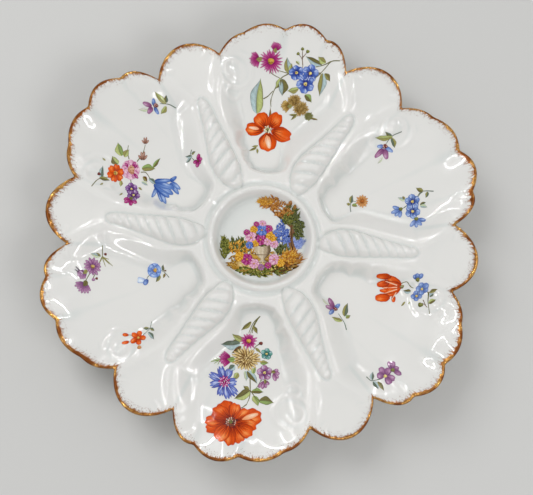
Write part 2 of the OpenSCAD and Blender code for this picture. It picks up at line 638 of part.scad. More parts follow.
// The medallion: a small garden with an urn of flowers, a tree and far hills, in the sauce well.
// A mass of colour: [x, y, radius across, radius up, lobes, colour], as shares of its half width
medallion_share = 0.93;
medallion_shares = [
    [-0.05, -0.62, 0.80, 0.24, 7, "darkkhaki"], [0.62, 0.02, 0.30, 0.16, 5, "lightsteelblue"],
    [0.52, -0.18, 0.40, 0.14, 6, "olivedrab"], [-0.72, -0.20, 0.09, 0.42, 4, "saddlebrown"],
    [-0.66, 0.42, 0.28, 0.26, 7, "darkorange"], [-0.38, 0.62, 0.24, 0.18, 6, "goldenrod"],
    [-0.86, 0.12, 0.16, 0.20, 6, "olive"], [0.02, -0.32, 0.20, 0.18, 4, "tan"],
    [-0.14, 0.02, 0.17, 0.16, 6, "palevioletred"], [0.16, 0.04, 0.16, 0.15, 6, "gold"],
    [0.02, 0.22, 0.16, 0.15, 5, "steelblue"], [0.34, -0.44, 0.16, 0.12, 5, "palevioletred"]];
module centre_medallion() {
    half_w = medallion_share * dish_r;
    for (m = medallion_shares) {
        middle = half_w * [m[0], m[1]];
        steps = m[4] * 3;
        color(m[5])
        patch(middle, [for (k = [0:steps - 1])
            let (a = 360 * k / steps, r = 1 - petal_dip_share * (1 + cos(360 * k / 3)) / 2)
            middle + half_w * r * [m[2] * cos(a), m[3] * sin(a)]]);
    }
}

porcelain_body();
gilt_edge();
centre_medallion();
top_bouquet();
upper_left_bouquet();
upper_left_sprig();
upper_left_bud();
lower_left_asters();
lower_left_bells();
lower_left_berries();
bottom_bouquet();
lower_right_sprig();
lower_right_tulip();
lower_right_pinks();
upper_right_sprig();
upper_right_daisy();
upper_right_forget_me_nots();
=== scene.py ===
# %% [markdown]
# A moulded porcelain oyster plate.
# The real plate is one piece of hard porcelain, pressed in a plaster mould, glazed and fired.
# A painter then brushes gold round the edge and lays enamel flowers over the glaze, and each
# coat gets its own firing. This lesson follows the same order: the white body, the glaze,
# the gilding, then the painting, and last the table that the plate stands on.

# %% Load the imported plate
import json
import math
import random

import bpy
import numpy as np
from mathutils import Matrix, Vector

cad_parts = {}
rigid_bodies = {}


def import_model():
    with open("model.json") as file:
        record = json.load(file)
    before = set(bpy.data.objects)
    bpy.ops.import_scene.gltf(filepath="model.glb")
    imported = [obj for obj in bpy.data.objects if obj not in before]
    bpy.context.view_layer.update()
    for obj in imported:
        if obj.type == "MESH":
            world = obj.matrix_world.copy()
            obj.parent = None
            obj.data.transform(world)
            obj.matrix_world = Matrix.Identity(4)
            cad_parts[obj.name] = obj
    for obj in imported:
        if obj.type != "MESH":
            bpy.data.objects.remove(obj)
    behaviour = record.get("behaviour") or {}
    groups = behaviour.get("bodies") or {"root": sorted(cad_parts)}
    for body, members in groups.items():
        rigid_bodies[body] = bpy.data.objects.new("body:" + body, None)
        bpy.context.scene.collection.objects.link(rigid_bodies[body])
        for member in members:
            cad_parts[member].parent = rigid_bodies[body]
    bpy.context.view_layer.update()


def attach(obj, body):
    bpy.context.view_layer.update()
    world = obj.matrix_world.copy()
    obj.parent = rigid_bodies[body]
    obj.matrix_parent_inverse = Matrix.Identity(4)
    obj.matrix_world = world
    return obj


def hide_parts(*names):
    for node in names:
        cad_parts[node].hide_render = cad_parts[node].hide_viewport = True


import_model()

# %% [markdown]
# The camera.
# The photograph looks down on the plate from a little below its middle, held almost level.
# Three rows of a rotation say where the camera's right, up and back point in the plate's frame.
# The lens could be moved until the picture fits by eye, but the camera was fitted once to the
# lobed edge and the centre ring, so its numbers are fixed here.

# %% Place the camera
MM = 0.001
PHOTO_W_PX, PHOTO_H_PX = 533, 495
FOCAL_PX = 1136.5
SENSOR_W_MM = 36
CAMERA_RIGHT = (0.9987, -0.0061, 0.0509)
CAMERA_UP = (-0.0061, 0.9717, 0.2361)
CAMERA_BACK = (-0.0509, -0.2361, 0.9704)
CAMERA_RUN_MM = 583
AIM_Z_MM = 25.5
PLATE_MIDDLE_PX = (263.2, 232.6)

camera = bpy.data.objects.new("camera", bpy.data.cameras.new("camera"))
bpy.context.scene.collection.objects.link(camera)
bpy.context.scene.camera = camera
turn = Matrix((CAMERA_RIGHT, CAMERA_UP, CAMERA_BACK)).transposed()
camera.matrix_world = Matrix.LocRotScale(
    Vector((0, 0, AIM_Z_MM * MM)) + CAMERA_RUN_MM * MM * Vector(CAMERA_BACK),
    turn.to_quaternion(), None)
camera.data.sensor_width = SENSOR_W_MM
camera.data.lens = FOCAL_PX / PHOTO_W_PX * SENSOR_W_MM
camera.data.shift_x = (PHOTO_W_PX / 2 - PLATE_MIDDLE_PX[0]) / PHOTO_W_PX
camera.data.shift_y = (PLATE_MIDDLE_PX[1] - PHOTO_H_PX / 2) / PHOTO_W_PX
print("lens:", round(camera.data.lens, 1), "mm, shift:", round(camera.data.shift_x, 4),
      round(camera.data.shift_y, 4))

# %% [markdown]
# The plate's sizes.
# A mould maker's drawing gives a few sizes in millimetres and a few shares, such as how far
# along a divider its shell is fullest. The same numbers shape the body that the frame holds,
# so the finer surface made here lies on it. Everything is worked out in millimetres and
# scaled to metres once, when a mesh is made.

# %% Sizes in millimetres
PLATE_R = 117.5
RIM_H, DIVIDER_RIM_H, DIVIDER_ROOT_H = 28.6, 25.6, 15.0
WALL_T, EDGE_T = 3.6, 2.4
RING_R, RING_H = 26.8, 16.4
DISH_R, DISH_H = 21.5, 10.4
RING_GROOVE_RUN, RING_GROOVE_H, RING_LAND_RUN = 3.0, 13.6, 5.8
WELL_H, WELL_FLAT_R = 9.4, 50.0
WELL_WALL_R, WELL_WALL_RUN = 33.3, 5.2
DIVIDER_W, RUFFLE_DEPTH, FLUTE_DEPTH, FAN_DEPTH = 10.0, 1.3, 0.9, 1.7
SHELL_LEN, SHELL_HALF_W, SHELL_RISE, SHELL_ROOT_RUN = 52.5, 7.1, 4.6, 3.6
MOAT_DEPTH, MOAT_W = 0.8, 1.8
FOOT_R, FOOT_W, FOOT_FLARE = 60.0, 2.6, 1.5
SECTORS = 6
PITCH_A = 360 / SECTORS
FIRST_SHELL_A = 54
LAND_R = RING_R + RING_LAND_RUN
GROOVE_R = RING_R + RING_GROOVE_RUN
SPAN = PLATE_R - LAND_R
SHELL_ROOT_R = LAND_R - SHELL_ROOT_RUN
EDGE_IN = EDGE_T / 2

# %% [markdown]
# Tables of shares.
# Hand-cut relief seldom follows one formula. A short table of places and values, joined by a
# smooth curve, keeps the cutter's decisions readable: each row is one decision.

# %% Tables and the curve that joins them
SCALLOP_SHARES = [
    (-0.020, 0.957, 0.142), (0.275, 0.960, 0.098), (0.402, 0.999, 0.131),
    (0.570, 0.983, 0.157), (0.680, 0.946, 0.126)]
SCALLOP_DROP_SHARE, SCALLOP_BLEND_SHARE = 0.068, 0.003
START_SIDE_SHARES = [
    (-0.03, 1.50), (0.04, 1.06), (0.12, 0.98), (0.23, 0.80), (0.39, 0.48), (0.51, 0.30),
    (0.57, 0.22), (0.65, 0.52), (0.83, 1.56), (1.00, 2.60)]
END_SIDE_SHARES = [
    (-0.03, 1.40), (0.02, 1.02), (0.06, 0.83), (0.16, 0.72), (0.32, 0.67), (0.49, 0.66),
    (0.58, 0.86), (0.72, 1.34), (0.83, 1.92), (1.00, 3.00)]
START_SLOPE_SHARES = [(-0.03, 0.5), (0.09, 0.7), (0.20, 1.4), (0.32, 1.6), (1.00, 1.8)]
END_SLOPE_SHARES = [(-0.03, 0.5), (0.13, 0.55), (0.28, 0.9), (0.44, 1.4), (1.00, 1.8)]
SHELL_WIDTH_SHARES = [
    (0, 0.12), (0.04, 0.45), (0.13, 0.80), (0.27, 1.00), (0.40, 0.94), (0.51, 0.82),
    (0.70, 0.60), (0.86, 0.46), (0.96, 0.34), (1, 0.10)]
SHELL_LINE_SHARES = [
    (0, 0), (0.13, 0.20), (0.27, 0.24), (0.40, 0.22), (0.51, 0.14), (0.70, 0.03),
    (0.86, -0.06), (1, -0.07)]
FLUTE_SHARES = [(0.492, 0.070, 1.0), (0.338, 0.055, 0.6), (0.635, 0.055, 0.6)]


def soft(t):
    t = np.clip(t, 0, 1)
    return t * t * (3 - 2 * t)


def mix(a, b, t):
    return a + (b - a) * t


def wrap(a):
    return a - PITCH_A * np.floor(a / PITCH_A + 0.5)


def curve(x, table):
    places, values = np.array(table, float).T
    around = np.pad(values, 1, mode="edge"), np.pad(places, 1, mode="edge")
    slopes = (around[0][2:] - around[0][:-2]) / (around[1][2:] - around[1][:-2])
    i = np.clip(np.searchsorted(places, x, side="right") - 1, 0, len(places) - 2)
    h = places[i + 1] - places[i]
    u = np.clip((x - places[i]) / h, 0, 1)
    bend = h * (slopes[i] * u * (1 - u) ** 2 - slopes[i + 1] * u * u * (1 - u))
    return mix(values[i], values[i + 1], soft(u)) + bend


print("shell at its fullest:", round(float(curve(0.27, SHELL_WIDTH_SHARES)) * SHELL_HALF_W, 2), "mm")

# %% [markdown]
# The lobed edge.
# Each big lobe has two round peaks and each shell ends in a smaller one. Cutting the outline
# point by point would need hundreds of points. Taking the outermost of five overlapping round
# scallops gives the same line, with the small sharp valleys between lobes for nothing.


# %% Radius of the edge at any angle
def edge_r(a):
    blend = PLATE_R * SCALLOP_BLEND_SHARE
    total = 0
    for place, peak, spread in SCALLOP_SHARES:
        off = wrap(a - FIRST_SHELL_A - place * PITCH_A) / (spread * PITCH_A)
        total = total + np.exp((peak - 1 - SCALLOP_DROP_SHARE * off * off) * PLATE_R / blend)
    return PLATE_R + blend * np.log(total)


round_trip = edge_r(np.arange(0, 360, 0.5))
print("edge radius from", round(round_trip.min(), 1), "to", round(round_trip.max(), 1), "mm")

# %% [markdown]
# The relief as one height for every place.
# A mould can't hold an undercut, so the plate's upper face has one height at each place, and
# a function of radius and angle can hold all of it. The sauce well and its ring come first,
# then the dividers, the six wells sunk between them, and the relief on the dividers.

# %% Sauce well, dividers and wells
LOBE_POWER = 1.6
RUFFLES, RUFFLE_FROM, RUFFLE_TO, RUFFLE_FADE = 3, 0.06, 0.42, 0.05


def hub_z(r):
    rise = mix(DISH_H, RING_H, soft((r - DISH_R) / (RING_R - DISH_R)))
    groove = mix(RING_H, RING_GROOVE_H, soft((r - RING_R) / RING_GROOVE_RUN))
    land = mix(RING_GROOVE_H, DIVIDER_ROOT_H, soft((r - GROOVE_R) / (LAND_R - GROOVE_R)))
    return np.where(r < RING_R, rise, np.where(r < GROOVE_R, groove, land))


def divider_z(r):
    return mix(DIVIDER_ROOT_H, DIVIDER_RIM_H, (r - LAND_R) / SPAN)


def floor_z(r):
    out = np.maximum(r - WELL_FLAT_R, 0) / (PLATE_R - WELL_FLAT_R)
    return mix(WELL_H, RIM_H, out ** LOBE_POWER)


def along(x):
    return (x - LAND_R) / SPAN


def side(x, table):
    return DIVIDER_W * curve(along(x), table)


def ruffle(x):
    s = (along(x) - RUFFLE_FROM) / (RUFFLE_TO - RUFFLE_FROM)
    fade = RUFFLE_FADE / (RUFFLE_TO - RUFFLE_FROM)
    wave = 1 - np.abs(np.sin(np.pi * RUFFLES * s))
    return RUFFLE_DEPTH * wave * soft(s / fade) * soft((1 - s) / fade)


def well(r, off_a):
    start_a, end_a = np.radians(off_a + PITCH_A / 2), np.radians(off_a - PITCH_A / 2)
    xa, ya = r * np.cos(start_a), r * np.sin(start_a)
    xb, yb = r * np.cos(end_a), r * np.sin(end_a)
    end_in = soft((r * np.cos(np.radians(off_a)) - WELL_WALL_R) / WELL_WALL_RUN)
    start_in = soft((ya - side(xa, START_SIDE_SHARES)) / side(xa, START_SLOPE_SHARES))
    far_in = soft((-yb - side(xb, END_SIDE_SHARES) - ruffle(xb)) / side(xb, END_SLOPE_SHARES))
    return end_in * start_in * far_in


# %% [markdown]
# The spiral shells, their grooves and fans, and the flutes.
# Each divider carries a long pointed sea shell. Its whorls shrink by one ratio towards the tip,
# which a logarithm turns into even steps. A groove sets it off from the divider, a small fan
# opens outside its tip, and shallow flutes run in from the edge of each big lobe.

# %% Relief on the dividers and the lobes
WHORL_APEX, WHORL_FIRST, WHORL_RATIO = 1.82, 1.59, 0.92
WHORL_LEAST, WHORL_SLANT, WHORL_GROOVE, WHORL_SWELL, WHORL_SCALLOP = 0.003, 0.5, 0.45, 0.8, 0.07
MOAT_START_RUN = 3 * MOAT_W
MOAT_FADE = 1 / 3
FLUTE_FROM, FLUTE_RUN = 0.68, 0.26
FAN_FROM, FAN_RUN = 0.49, 0.19


def shell_z(x, y):
    s = (x - SHELL_ROOT_R) / SHELL_LEN
    half_w = SHELL_HALF_W * curve(s, SHELL_WIDTH_SHARES)
    off = y - SHELL_HALF_W * curve(s, SHELL_LINE_SHARES)
    u = off / half_w
    turn_s = (x + WHORL_SLANT * off - SHELL_ROOT_R) / SHELL_LEN
    n = np.log(np.maximum(WHORL_APEX - turn_s, WHORL_LEAST) / WHORL_FIRST) / math.log(WHORL_RATIO)
    swell = np.abs(np.sin(np.pi * n)) ** WHORL_SWELL
    arch = np.sqrt(np.maximum(1 + WHORL_SCALLOP * (swell - 1) - u * u, 0))
    height = SHELL_RISE * half_w / SHELL_HALF_W * arch * (1 - WHORL_GROOVE * (1 - swell))
    return np.where((s <= 0) | (s >= 1), 0, height)


def moat_z(x, y):
    s = (x - SHELL_ROOT_R) / SHELL_LEN
    half_w = SHELL_HALF_W * curve(s, SHELL_WIDTH_SHARES)
    off = np.abs(y - SHELL_HALF_W * curve(s, SHELL_LINE_SHARES)) - half_w
    depth = MOAT_DEPTH * np.exp(-(off / MOAT_W) ** 2) * soft(s * SHELL_LEN / MOAT_START_RUN)
    return np.where((s <= 0) | (s >= 1), 0, depth)


def fan_z(x, y):
    a, b = side(x, START_SIDE_SHARES), side(x, END_SIDE_SHARES)
    t = np.clip((y + b) / (a + b), 0, 1)
    return FAN_DEPTH * 4 * t * (1 - t) * soft((along(x) - FAN_FROM) / FAN_RUN)


def flutes_z(r, a):
    total = 0
    for place, spread, share in FLUTE_SHARES:
        off = wrap(a - FIRST_SHELL_A - place * PITCH_A) / (spread * PITCH_A)
        total = total + share * np.exp(-off * off)
    return FLUTE_DEPTH * total * soft((along(r) - FLUTE_FROM) / FLUTE_RUN)


# %% [markdown]
# Scrolls and dimples near the rim, and the unevenness of hand work.
# Thin raised scrolls curl on both sides of each shell's outer end, and shallow dimples lie
# beside them. White on white they hardly show, but under a glaze every thin ridge gathers the
# light of all lamps into a bright line. A pressed and hand-finished plate is never quite true
# either, so long and short waves with no common length lift and lower the face by hundredths
# of a millimetre. Too little to see as form, they bend every reflection.

# %% Scrolls, dimples and waves of hand work
SCROLLS = [
    (92.0, -15.5, 8.6, 20), (93.5, -14.5, 4.2, 200), (106.0, -5.5, 3.8, 130), (104.5, 4.5, 3.6, 250),
    (105.0, 14.5, 5.0, 180), (81.0, -13.5, 3.4, 300)]
SCROLL_RISE, SCROLL_W, SCROLL_OPEN = 0.30, 0.95, 1.5
RIM_DIMPLES = [(97.0, 15.5, 18.0, 0.7), (104.0, 1.0, 16.0, 0.6), (92.0, -13.0, 18.0, 0.5)]
DIMPLE_BRIM = 0.9
HAND_WAVES = [
    (0.061, 0.043, 0.3, 0.040), (-0.047, 0.083, 1.9, 0.040), (0.31, 0.22, 0.8, 0.022),
    (-0.24, 0.37, 2.7, 0.020), (0.43, -0.28, 5.0, 0.018), (0.12, 0.52, 3.6, 0.014)]


def scrolls_z(x, y):
    total = 0
    for place_r, place_a, curl_r, open_a in SCROLLS:
        off_x = x - place_r * math.cos(math.radians(place_a))
        off_y = y - place_r * math.sin(math.radians(place_a))
        facing = np.cos(np.arctan2(off_y, off_x) - math.radians(open_a))
        off = (np.hypot(off_x, off_y) - curl_r) / SCROLL_W
        total = total + SCROLL_RISE * np.exp(-off * off) * soft(SCROLL_OPEN * (1 - facing))
    return total


def dimples_z(r, a):
    total = 0
    for place_r, place_a, size, depth in RIM_DIMPLES:
        off_a = np.radians(wrap(a - FIRST_SHELL_A - PITCH_A / 2 - place_a))
        off = ((r * np.cos(off_a) - place_r) ** 2 + (r * np.sin(off_a)) ** 2) / (size / 2) ** 2
        total = total + depth * (1 - DIMPLE_BRIM * off) * np.exp(-off)
    return total


def hand_z(x, y):
    return sum(depth * np.sin(p * x + q * y + start) for p, q, start, depth in HAND_WAVES)


# %% [markdown]
# The whole upper face, and the underside.
# The underside follows the wells a wall's thickness lower, because pressed clay is even, but it
# leaves out the fine relief: the plaster that presses it is plain.


# %% Heights of both faces
def top_z(r, a):
    off_a = np.radians(wrap(a - FIRST_SHELL_A))
    x, y = r * np.cos(off_a), r * np.sin(off_a)
    inside = np.where(r < LAND_R / 2, 0, well(r, wrap(a - FIRST_SHELL_A - PITCH_A / 2)))
    land = np.where(r < LAND_R, hub_z(r), divider_z(r))
    plain = mix(land, floor_z(r), inside) - flutes_z(r, a) * inside
    relief = shell_z(x, y) - fan_z(x, y) - moat_z(x, y) * (1 - soft(inside / MOAT_FADE))
    relief = relief + scrolls_z(x, y) - dimples_z(r, a) * inside
    relief = relief + hand_z(r * np.cos(np.radians(a)), r * np.sin(np.radians(a))) * inside
    return np.where(r < SHELL_ROOT_R / 2, hub_z(r), plain + relief)


def under_z(r, a):
    out = np.maximum(r, LAND_R)
    off_a = np.radians(wrap(a - FIRST_SHELL_A))
    inside = well(out, wrap(a - FIRST_SHELL_A - PITCH_A / 2))
    rise = soft((r - DISH_R) / (LAND_R + RING_LAND_RUN - DISH_R))
    land = mix(DISH_H, divider_z(out), rise)
    fan = np.where(r > LAND_R, fan_z(r * np.cos(off_a), r * np.sin(off_a)), 0)
    wall = mix(WALL_T, EDGE_T, soft((along(r) - FLUTE_FROM) / (1 - FLUTE_FROM)))
    return mix(land, floor_z(r), inside) - fan - wall


def glaze_z(x, y):
    return top_z(np.hypot(x, y), np.degrees(np.arctan2(y, x)))


print("well floor:", round(float(glaze_z(20.0, 40.0)), 2), "mm above the table")

# %% [markdown]
# One fine skin for the body.
# The skin is a grid of rings and spokes: rings from the middle of the sauce well out over the
# edge and back underneath to the middle. Spokes crowd towards the shells, where the relief is
# finest. A remesh of the frame's solid would only smooth its facets, so the skin is made new
# from the heights and replaces the node.

# %% Mesh helpers
def mesh_piece(name, points_mm, faces, smooth=True):
    mesh = bpy.data.meshes.new(name)
    mesh.from_pydata((np.asarray(points_mm, float) * MM).tolist(), [], faces)
    mesh.update()
    mesh.polygons.foreach_set("use_smooth", [smooth] * len(mesh.polygons))
    piece = bpy.data.objects.new(name, mesh)
    bpy.context.scene.collection.objects.link(piece)
    return piece


def ring_faces(rings, count):
    spokes = np.arange(count)
    after = (spokes + 1) % count
    faces = []
    for j in range(rings - 1):
        low, high = j * count, (j + 1) * count
        faces += np.stack([low + spokes, high + spokes, high + after, low + after], 1).tolist()
    return faces


# %% Rings of the body
SPOKES_PER_SECTOR = 132
CROWDING = 0.30
DISH_RINGS_R = (4, 10, 16)
HUB_RINGS, WELL_RINGS, EDGE_RINGS = 15, 112, 9

u = np.arange(SPOKES_PER_SECTOR) / SPOKES_PER_SECTOR
crowded = u - CROWDING * np.sin(2 * np.pi * u) / (2 * np.pi)
spoke_a = np.concatenate([FIRST_SHELL_A + PITCH_A * (k + crowded) for k in range(SECTORS)])
spokes = len(spoke_a)
lobe_r = edge_r(spoke_a)


def at(r, z):
    r = np.broadcast_to(r, spokes)
    z = np.broadcast_to(z, spokes)
    return np.stack([r * np.cos(np.radians(spoke_a)), r * np.sin(np.radians(spoke_a)), z], 1)


def share_r(share):
    return mix(LAND_R, lobe_r - EDGE_IN, share)


top_radii = [np.full(spokes, r) for r in DISH_RINGS_R]
top_radii += [np.full(spokes, r) for r in np.linspace(DISH_R, LAND_R, HUB_RINGS)]
top_radii += [share_r(s) for s in np.linspace(0, 1, WELL_RINGS)[1:]]
top_rings = [at(r, top_z(r, spoke_a)) for r in top_radii]
lip_z = top_rings[-1][:, 2]
edge_bends = np.linspace(math.pi / 2, -math.pi / 2, EDGE_RINGS + 2)[1:]
edge_rings = []
for bend in edge_bends[:-1]:
    edge_rings.append(at(lobe_r - EDGE_IN + EDGE_IN * math.cos(bend),
                         lip_z - EDGE_IN + EDGE_IN * math.sin(bend)))
edge_rings.append(at(lobe_r - EDGE_IN, lip_z - EDGE_T))
print("top rings:", len(top_rings), "spokes:", spokes)

# %% [markdown]
# The foot ring.
# The plate stands on a low ring turned under the wells. Its face is ground flat after firing
# and carries no glaze. Rounded shoulders lead up to the body, as a wet sponge leaves them.

# %% Rings of the underside and the foot
UNDER_SHARES = np.linspace(0.96, 0.42, 11)
HOLLOW_RINGS = 14
FOOT_ROUND = 0.5
FOOT_NECK_RUN, FOOT_NECK_H = FOOT_ROUND * 0.6, FOOT_ROUND * 4
foot_out, foot_in = FOOT_R + FOOT_W / 2, FOOT_R - FOOT_W / 2
shoulder_out, shoulder_in = foot_out + FOOT_FLARE, foot_in - FOOT_FLARE
foot_profile = [
    (foot_out + FOOT_NECK_RUN, FOOT_NECK_H), (foot_out, FOOT_ROUND), (foot_out - FOOT_ROUND, 0),
    (foot_in + FOOT_ROUND, 0), (foot_in, FOOT_ROUND), (foot_in - FOOT_NECK_RUN, FOOT_NECK_H)]
hollow_radii = np.linspace(shoulder_in - 4 * FOOT_FLARE, RING_R / 4, HOLLOW_RINGS)


def under_ring(r):
    r = np.broadcast_to(r, spokes)
    return at(r, under_z(r, spoke_a))


under_rings = [under_ring(share_r(s)) for s in UNDER_SHARES]
under_rings += [under_ring(r) for r in (shoulder_out + FOOT_FLARE, shoulder_out)]
under_rings += [at(r, z) for r, z in foot_profile]
under_rings += [under_ring(r) for r in (shoulder_in, shoulder_in - FOOT_FLARE, *hollow_radii)]

body_rings = top_rings + edge_rings + under_rings
body_points = np.concatenate(body_rings + [[(0, 0, DISH_H)], [(0, 0, DISH_H - WALL_T)]])
body_faces = ring_faces(len(body_rings), spokes)
top_pole, under_pole = len(body_points) - 2, len(body_points) - 1
last_ring = (len(body_rings) - 1) * spokes
for k in range(spokes):
    body_faces.append((top_pole, k, (k + 1) % spokes))
    body_faces.append((under_pole, last_ring + (k + 1) % spokes, last_ring + k))
plate_body = mesh_piece("moulded_plate", body_points, body_faces)
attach(plate_body, "root")
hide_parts("porcelain_body")
print("body:", len(body_points), "points,", len(body_faces), "faces")

# %% [markdown]
# Where the glaze pools, and painted shade in the hollows.
# A clear glaze is a little green or blue where it lies thick, and it runs into every hollow. The
# hollows are also painted a little greyer than the white, which is painted shade.
# The hollows could be found in the shader, but the result would hang on the mesh. Comparing
# each point with its neighbours on the grid gives a steady measure, kept as an attribute.

# %% Hollows of the relief as an attribute
# This hollow measure drives the glaze's pooling tint and its painted shade.
HOLLOW_REACH, HOLLOW_DEPTH, HOLLOW_SEEN = 3, 0.35, 0.3
grid = np.stack([ring[:, 2] for ring in top_rings])
padded = np.pad(grid, ((HOLLOW_REACH, HOLLOW_REACH), (0, 0)), mode="edge")
near = (padded[2 * HOLLOW_REACH:] + padded[:-2 * HOLLOW_REACH]
        + np.roll(grid, HOLLOW_REACH, 1) + np.roll(grid, -HOLLOW_REACH, 1)) / 4
pooled_and_shaded = np.zeros(len(body_points))
pooled_and_shaded[:grid.size] = np.clip((near - grid) / HOLLOW_DEPTH, -1, 1).ravel()
pool_and_shade_attribute = plate_body.data.attributes.new("pooled_and_shaded", "FLOAT", "POINT")
pool_and_shade_attribute.data.foreach_set("value", pooled_and_shaded.astype(np.float32))
print("hollow points:", int((pooled_and_shaded > HOLLOW_SEEN).sum()))

# %% [markdown]
# Colours as a painter names them.
# Enamel colours are written here as they look on a screen, in the usual 0 to 255, and turned
# into the linear values that shaders use.


# %% Colours and shader helpers
def ink(red, green, blue):
    parts = np.array((red, green, blue)) / 255
    return np.where(parts <= 0.04045, parts / 12.92, ((parts + 0.055) / 1.055) ** 2.4)


def new_material(name):
    material = bpy.data.materials.new(name)
    material.use_nodes = True
    nodes, links = material.node_tree.nodes, material.node_tree.links
    return material, nodes, links, nodes["Principled BSDF"]


def add_node(nodes, kind, **inputs):
    node = nodes.new(kind)
    for name, value in inputs.items():
        node.inputs[name.replace("_", " ")].default_value = value
    return node


def blend_node(nodes, links, factor, low, high):
    node = nodes.new("ShaderNodeMix")
    node.data_type = "RGBA"
    links.new(factor, node.inputs["Factor"])
    for socket, value in ((node.inputs[6], low), (node.inputs[7], high)):
        if isinstance(value, bpy.types.NodeSocket):
            links.new(value, socket)
        else:
            socket.default_value = (*value, 1)
    return node.outputs[2]


def noise_node(nodes, links, place, scale, detail, roughness):
    noise = add_node(nodes, "ShaderNodeTexNoise", Scale=scale, Detail=detail, Roughness=roughness)
    links.new(place, noise.inputs["Vector"])
    return noise.outputs["Fac"]


def point_value(nodes, name):
    kept = nodes.new("ShaderNodeAttribute")
    kept.attribute_name = name
    return kept.outputs


def add_bump(nodes, links, shader, height, strength, deep_mm):
    bump = add_node(nodes, "ShaderNodeBump", Strength=strength, Distance=deep_mm * MM)
    links.new(height, bump.inputs["Height"])
    links.new(bump.outputs["Normal"], shader.inputs["Normal"])


def range_node(nodes, links, value, low, high, to_low=0.0, to_high=1.0):
    node = add_node(nodes, "ShaderNodeMapRange", From_Min=low, From_Max=high,
                    To_Min=to_low, To_Max=to_high)
    links.new(value, node.inputs["Value"])
    return node.outputs["Result"]


# %% [markdown]
# The glaze.
# Under a clear coat the body is a white that drifts slowly over the plate between a cool and a
# warmer tone. In the hollows it turns greener where the glaze pools, and greyer, which is
# painted shade. The surface is glossy but not a mirror: a fired glaze keeps a faint orange
# peel, which breaks each highlight into curls.

# %% Porcelain under a clear glaze
COOL_WHITE, WARM_WHITE = ink(223, 223, 220), ink(230, 229, 225)
# The hollows' colour: greener where the glaze pools, and greyer, which is painted shade.
POOLED_GREEN_AND_SHADE, KILN_SPECK = ink(206, 213, 210), ink(120, 112, 104)
CLOUD_SCALE, SPECK_SCALE, PEEL_SCALE = 28, 34, 240
SPECK_CORE, SPECK_END = 0.0075, 0.0125
GLAZE_RIPPLE_MM = 0.08

glaze, nodes, links, shader = new_material("clear_glaze_on_porcelain")
place = nodes.new("ShaderNodeTexCoord").outputs["Object"]
cloud = noise_node(nodes, links, place, CLOUD_SCALE, 2, 0.5)
white = blend_node(nodes, links, cloud, COOL_WHITE, WARM_WHITE)
hollow = range_node(nodes, links, point_value(nodes, "pooled_and_shaded")["Fac"], 0.1, 1.0, 0, 0.5)
# Hollows blend towards that colour: the tint of pooling glaze with painted shade.
pooled_and_shaded_white = blend_node(nodes, links, hollow, white, POOLED_GREEN_AND_SHADE)
speck = add_node(nodes, "ShaderNodeTexVoronoi", Scale=SPECK_SCALE, Randomness=1)
links.new(place, speck.inputs["Vector"])
speck_size = range_node(nodes, links, speck.outputs["Distance"], SPECK_CORE, SPECK_END, 0.55, 0)
links.new(blend_node(nodes, links, speck_size, pooled_and_shaded_white, KILN_SPECK), shader.inputs["Base Color"])
peel = noise_node(nodes, links, place, PEEL_SCALE, 2, 0.45)
add_bump(nodes, links, shader, peel, 0.3, GLAZE_RIPPLE_MM)
shader.inputs["Roughness"].default_value = 0.16
shader.inputs["IOR"].default_value = 1.5
shader.inputs["Specular IOR Level"].default_value = 0.25
shader.inputs["Coat Weight"].default_value = 1.0
shader.inputs["Coat Roughness"].default_value = 0.015
plate_body.data.materials.append(glaze)
print("glaze:", glaze.name)

# %% [markdown]
# The bare foot.
# The ground face of the foot is dull, and dust sticks to it, so it gets its own warm matt white.

# %% Unglazed foot face
DUSTY_CLAY, PALE_CLAY = ink(205, 196, 180), ink(226, 221, 210)
GRAIN_SCALE, CLAY_GRIT_MM = 900, 0.05
FOOT_FACE_MM = 0.01

biscuit, nodes, links, shader = new_material("ground_biscuit_foot")
place = nodes.new("ShaderNodeTexCoord").outputs["Object"]
grain = noise_node(nodes, links, place, GRAIN_SCALE, 3, 0.6)
links.new(blend_node(nodes, links, grain, DUSTY_CLAY, PALE_CLAY), shader.inputs["Base Color"])
add_bump(nodes, links, shader, grain, 0.4, CLAY_GRIT_MM)
shader.inputs["Roughness"].default_value = 0.85
plate_body.data.materials.append(biscuit)
face_heights = np.array([sum(body_points[v][2] for v in face) for face in body_faces])
foot_slots = (face_heights < FOOT_FACE_MM).astype(np.int32)
plate_body.data.polygons.foreach_set("material_index", foot_slots)
print("foot faces:", int(foot_slots.sum()))

# %% [markdown]
# The gilding.
# Liquid gold is brushed over the edge and burnished after firing. It covers the rounded edge,
# ends in a ragged line on the upper face, and is worn thin and brown where hands have rubbed.
# A texture mask could fake it, but then the gold would have no edge of its own. Here it is a
# thin skin: rows of points that start on the ragged line, run over the lip and end under it.

# %% The skin of gold over the edge
GOLD_STEPS = 4
GOLD_LIFT_MM, GOLD_TOP_SHARE = 0.05, 1.4
GOLD_IN_MM, GOLD_RAGGED_MM, GOLD_ROWS = 0.72, 0.6, 4
GOLD_LEAST_MM, RAGGED_LEAST = 0.12, 0.4
BROAD_A, BROAD_MEAN, BROAD_SIDE, BROAD_BEAT, BROAD_BEATS = 175, 0.65, 0.40, 0.32, 7
GOLD_UNDER_SHARE = 0.45
RAGGED_WAVES = [(37, 0.5, 0.30), (71, 2.1, 0.26), (139, 4.0, 0.22), (263, 1.2, 0.22)]


def between_spokes(ring):
    after = np.roll(ring, -1, axis=0)
    steps = [mix(ring, after, k / GOLD_STEPS) for k in range(GOLD_STEPS)]
    return np.stack(steps, 1).reshape(-1, 3)


def lifted(points, out):
    return points + GOLD_LIFT_MM * out


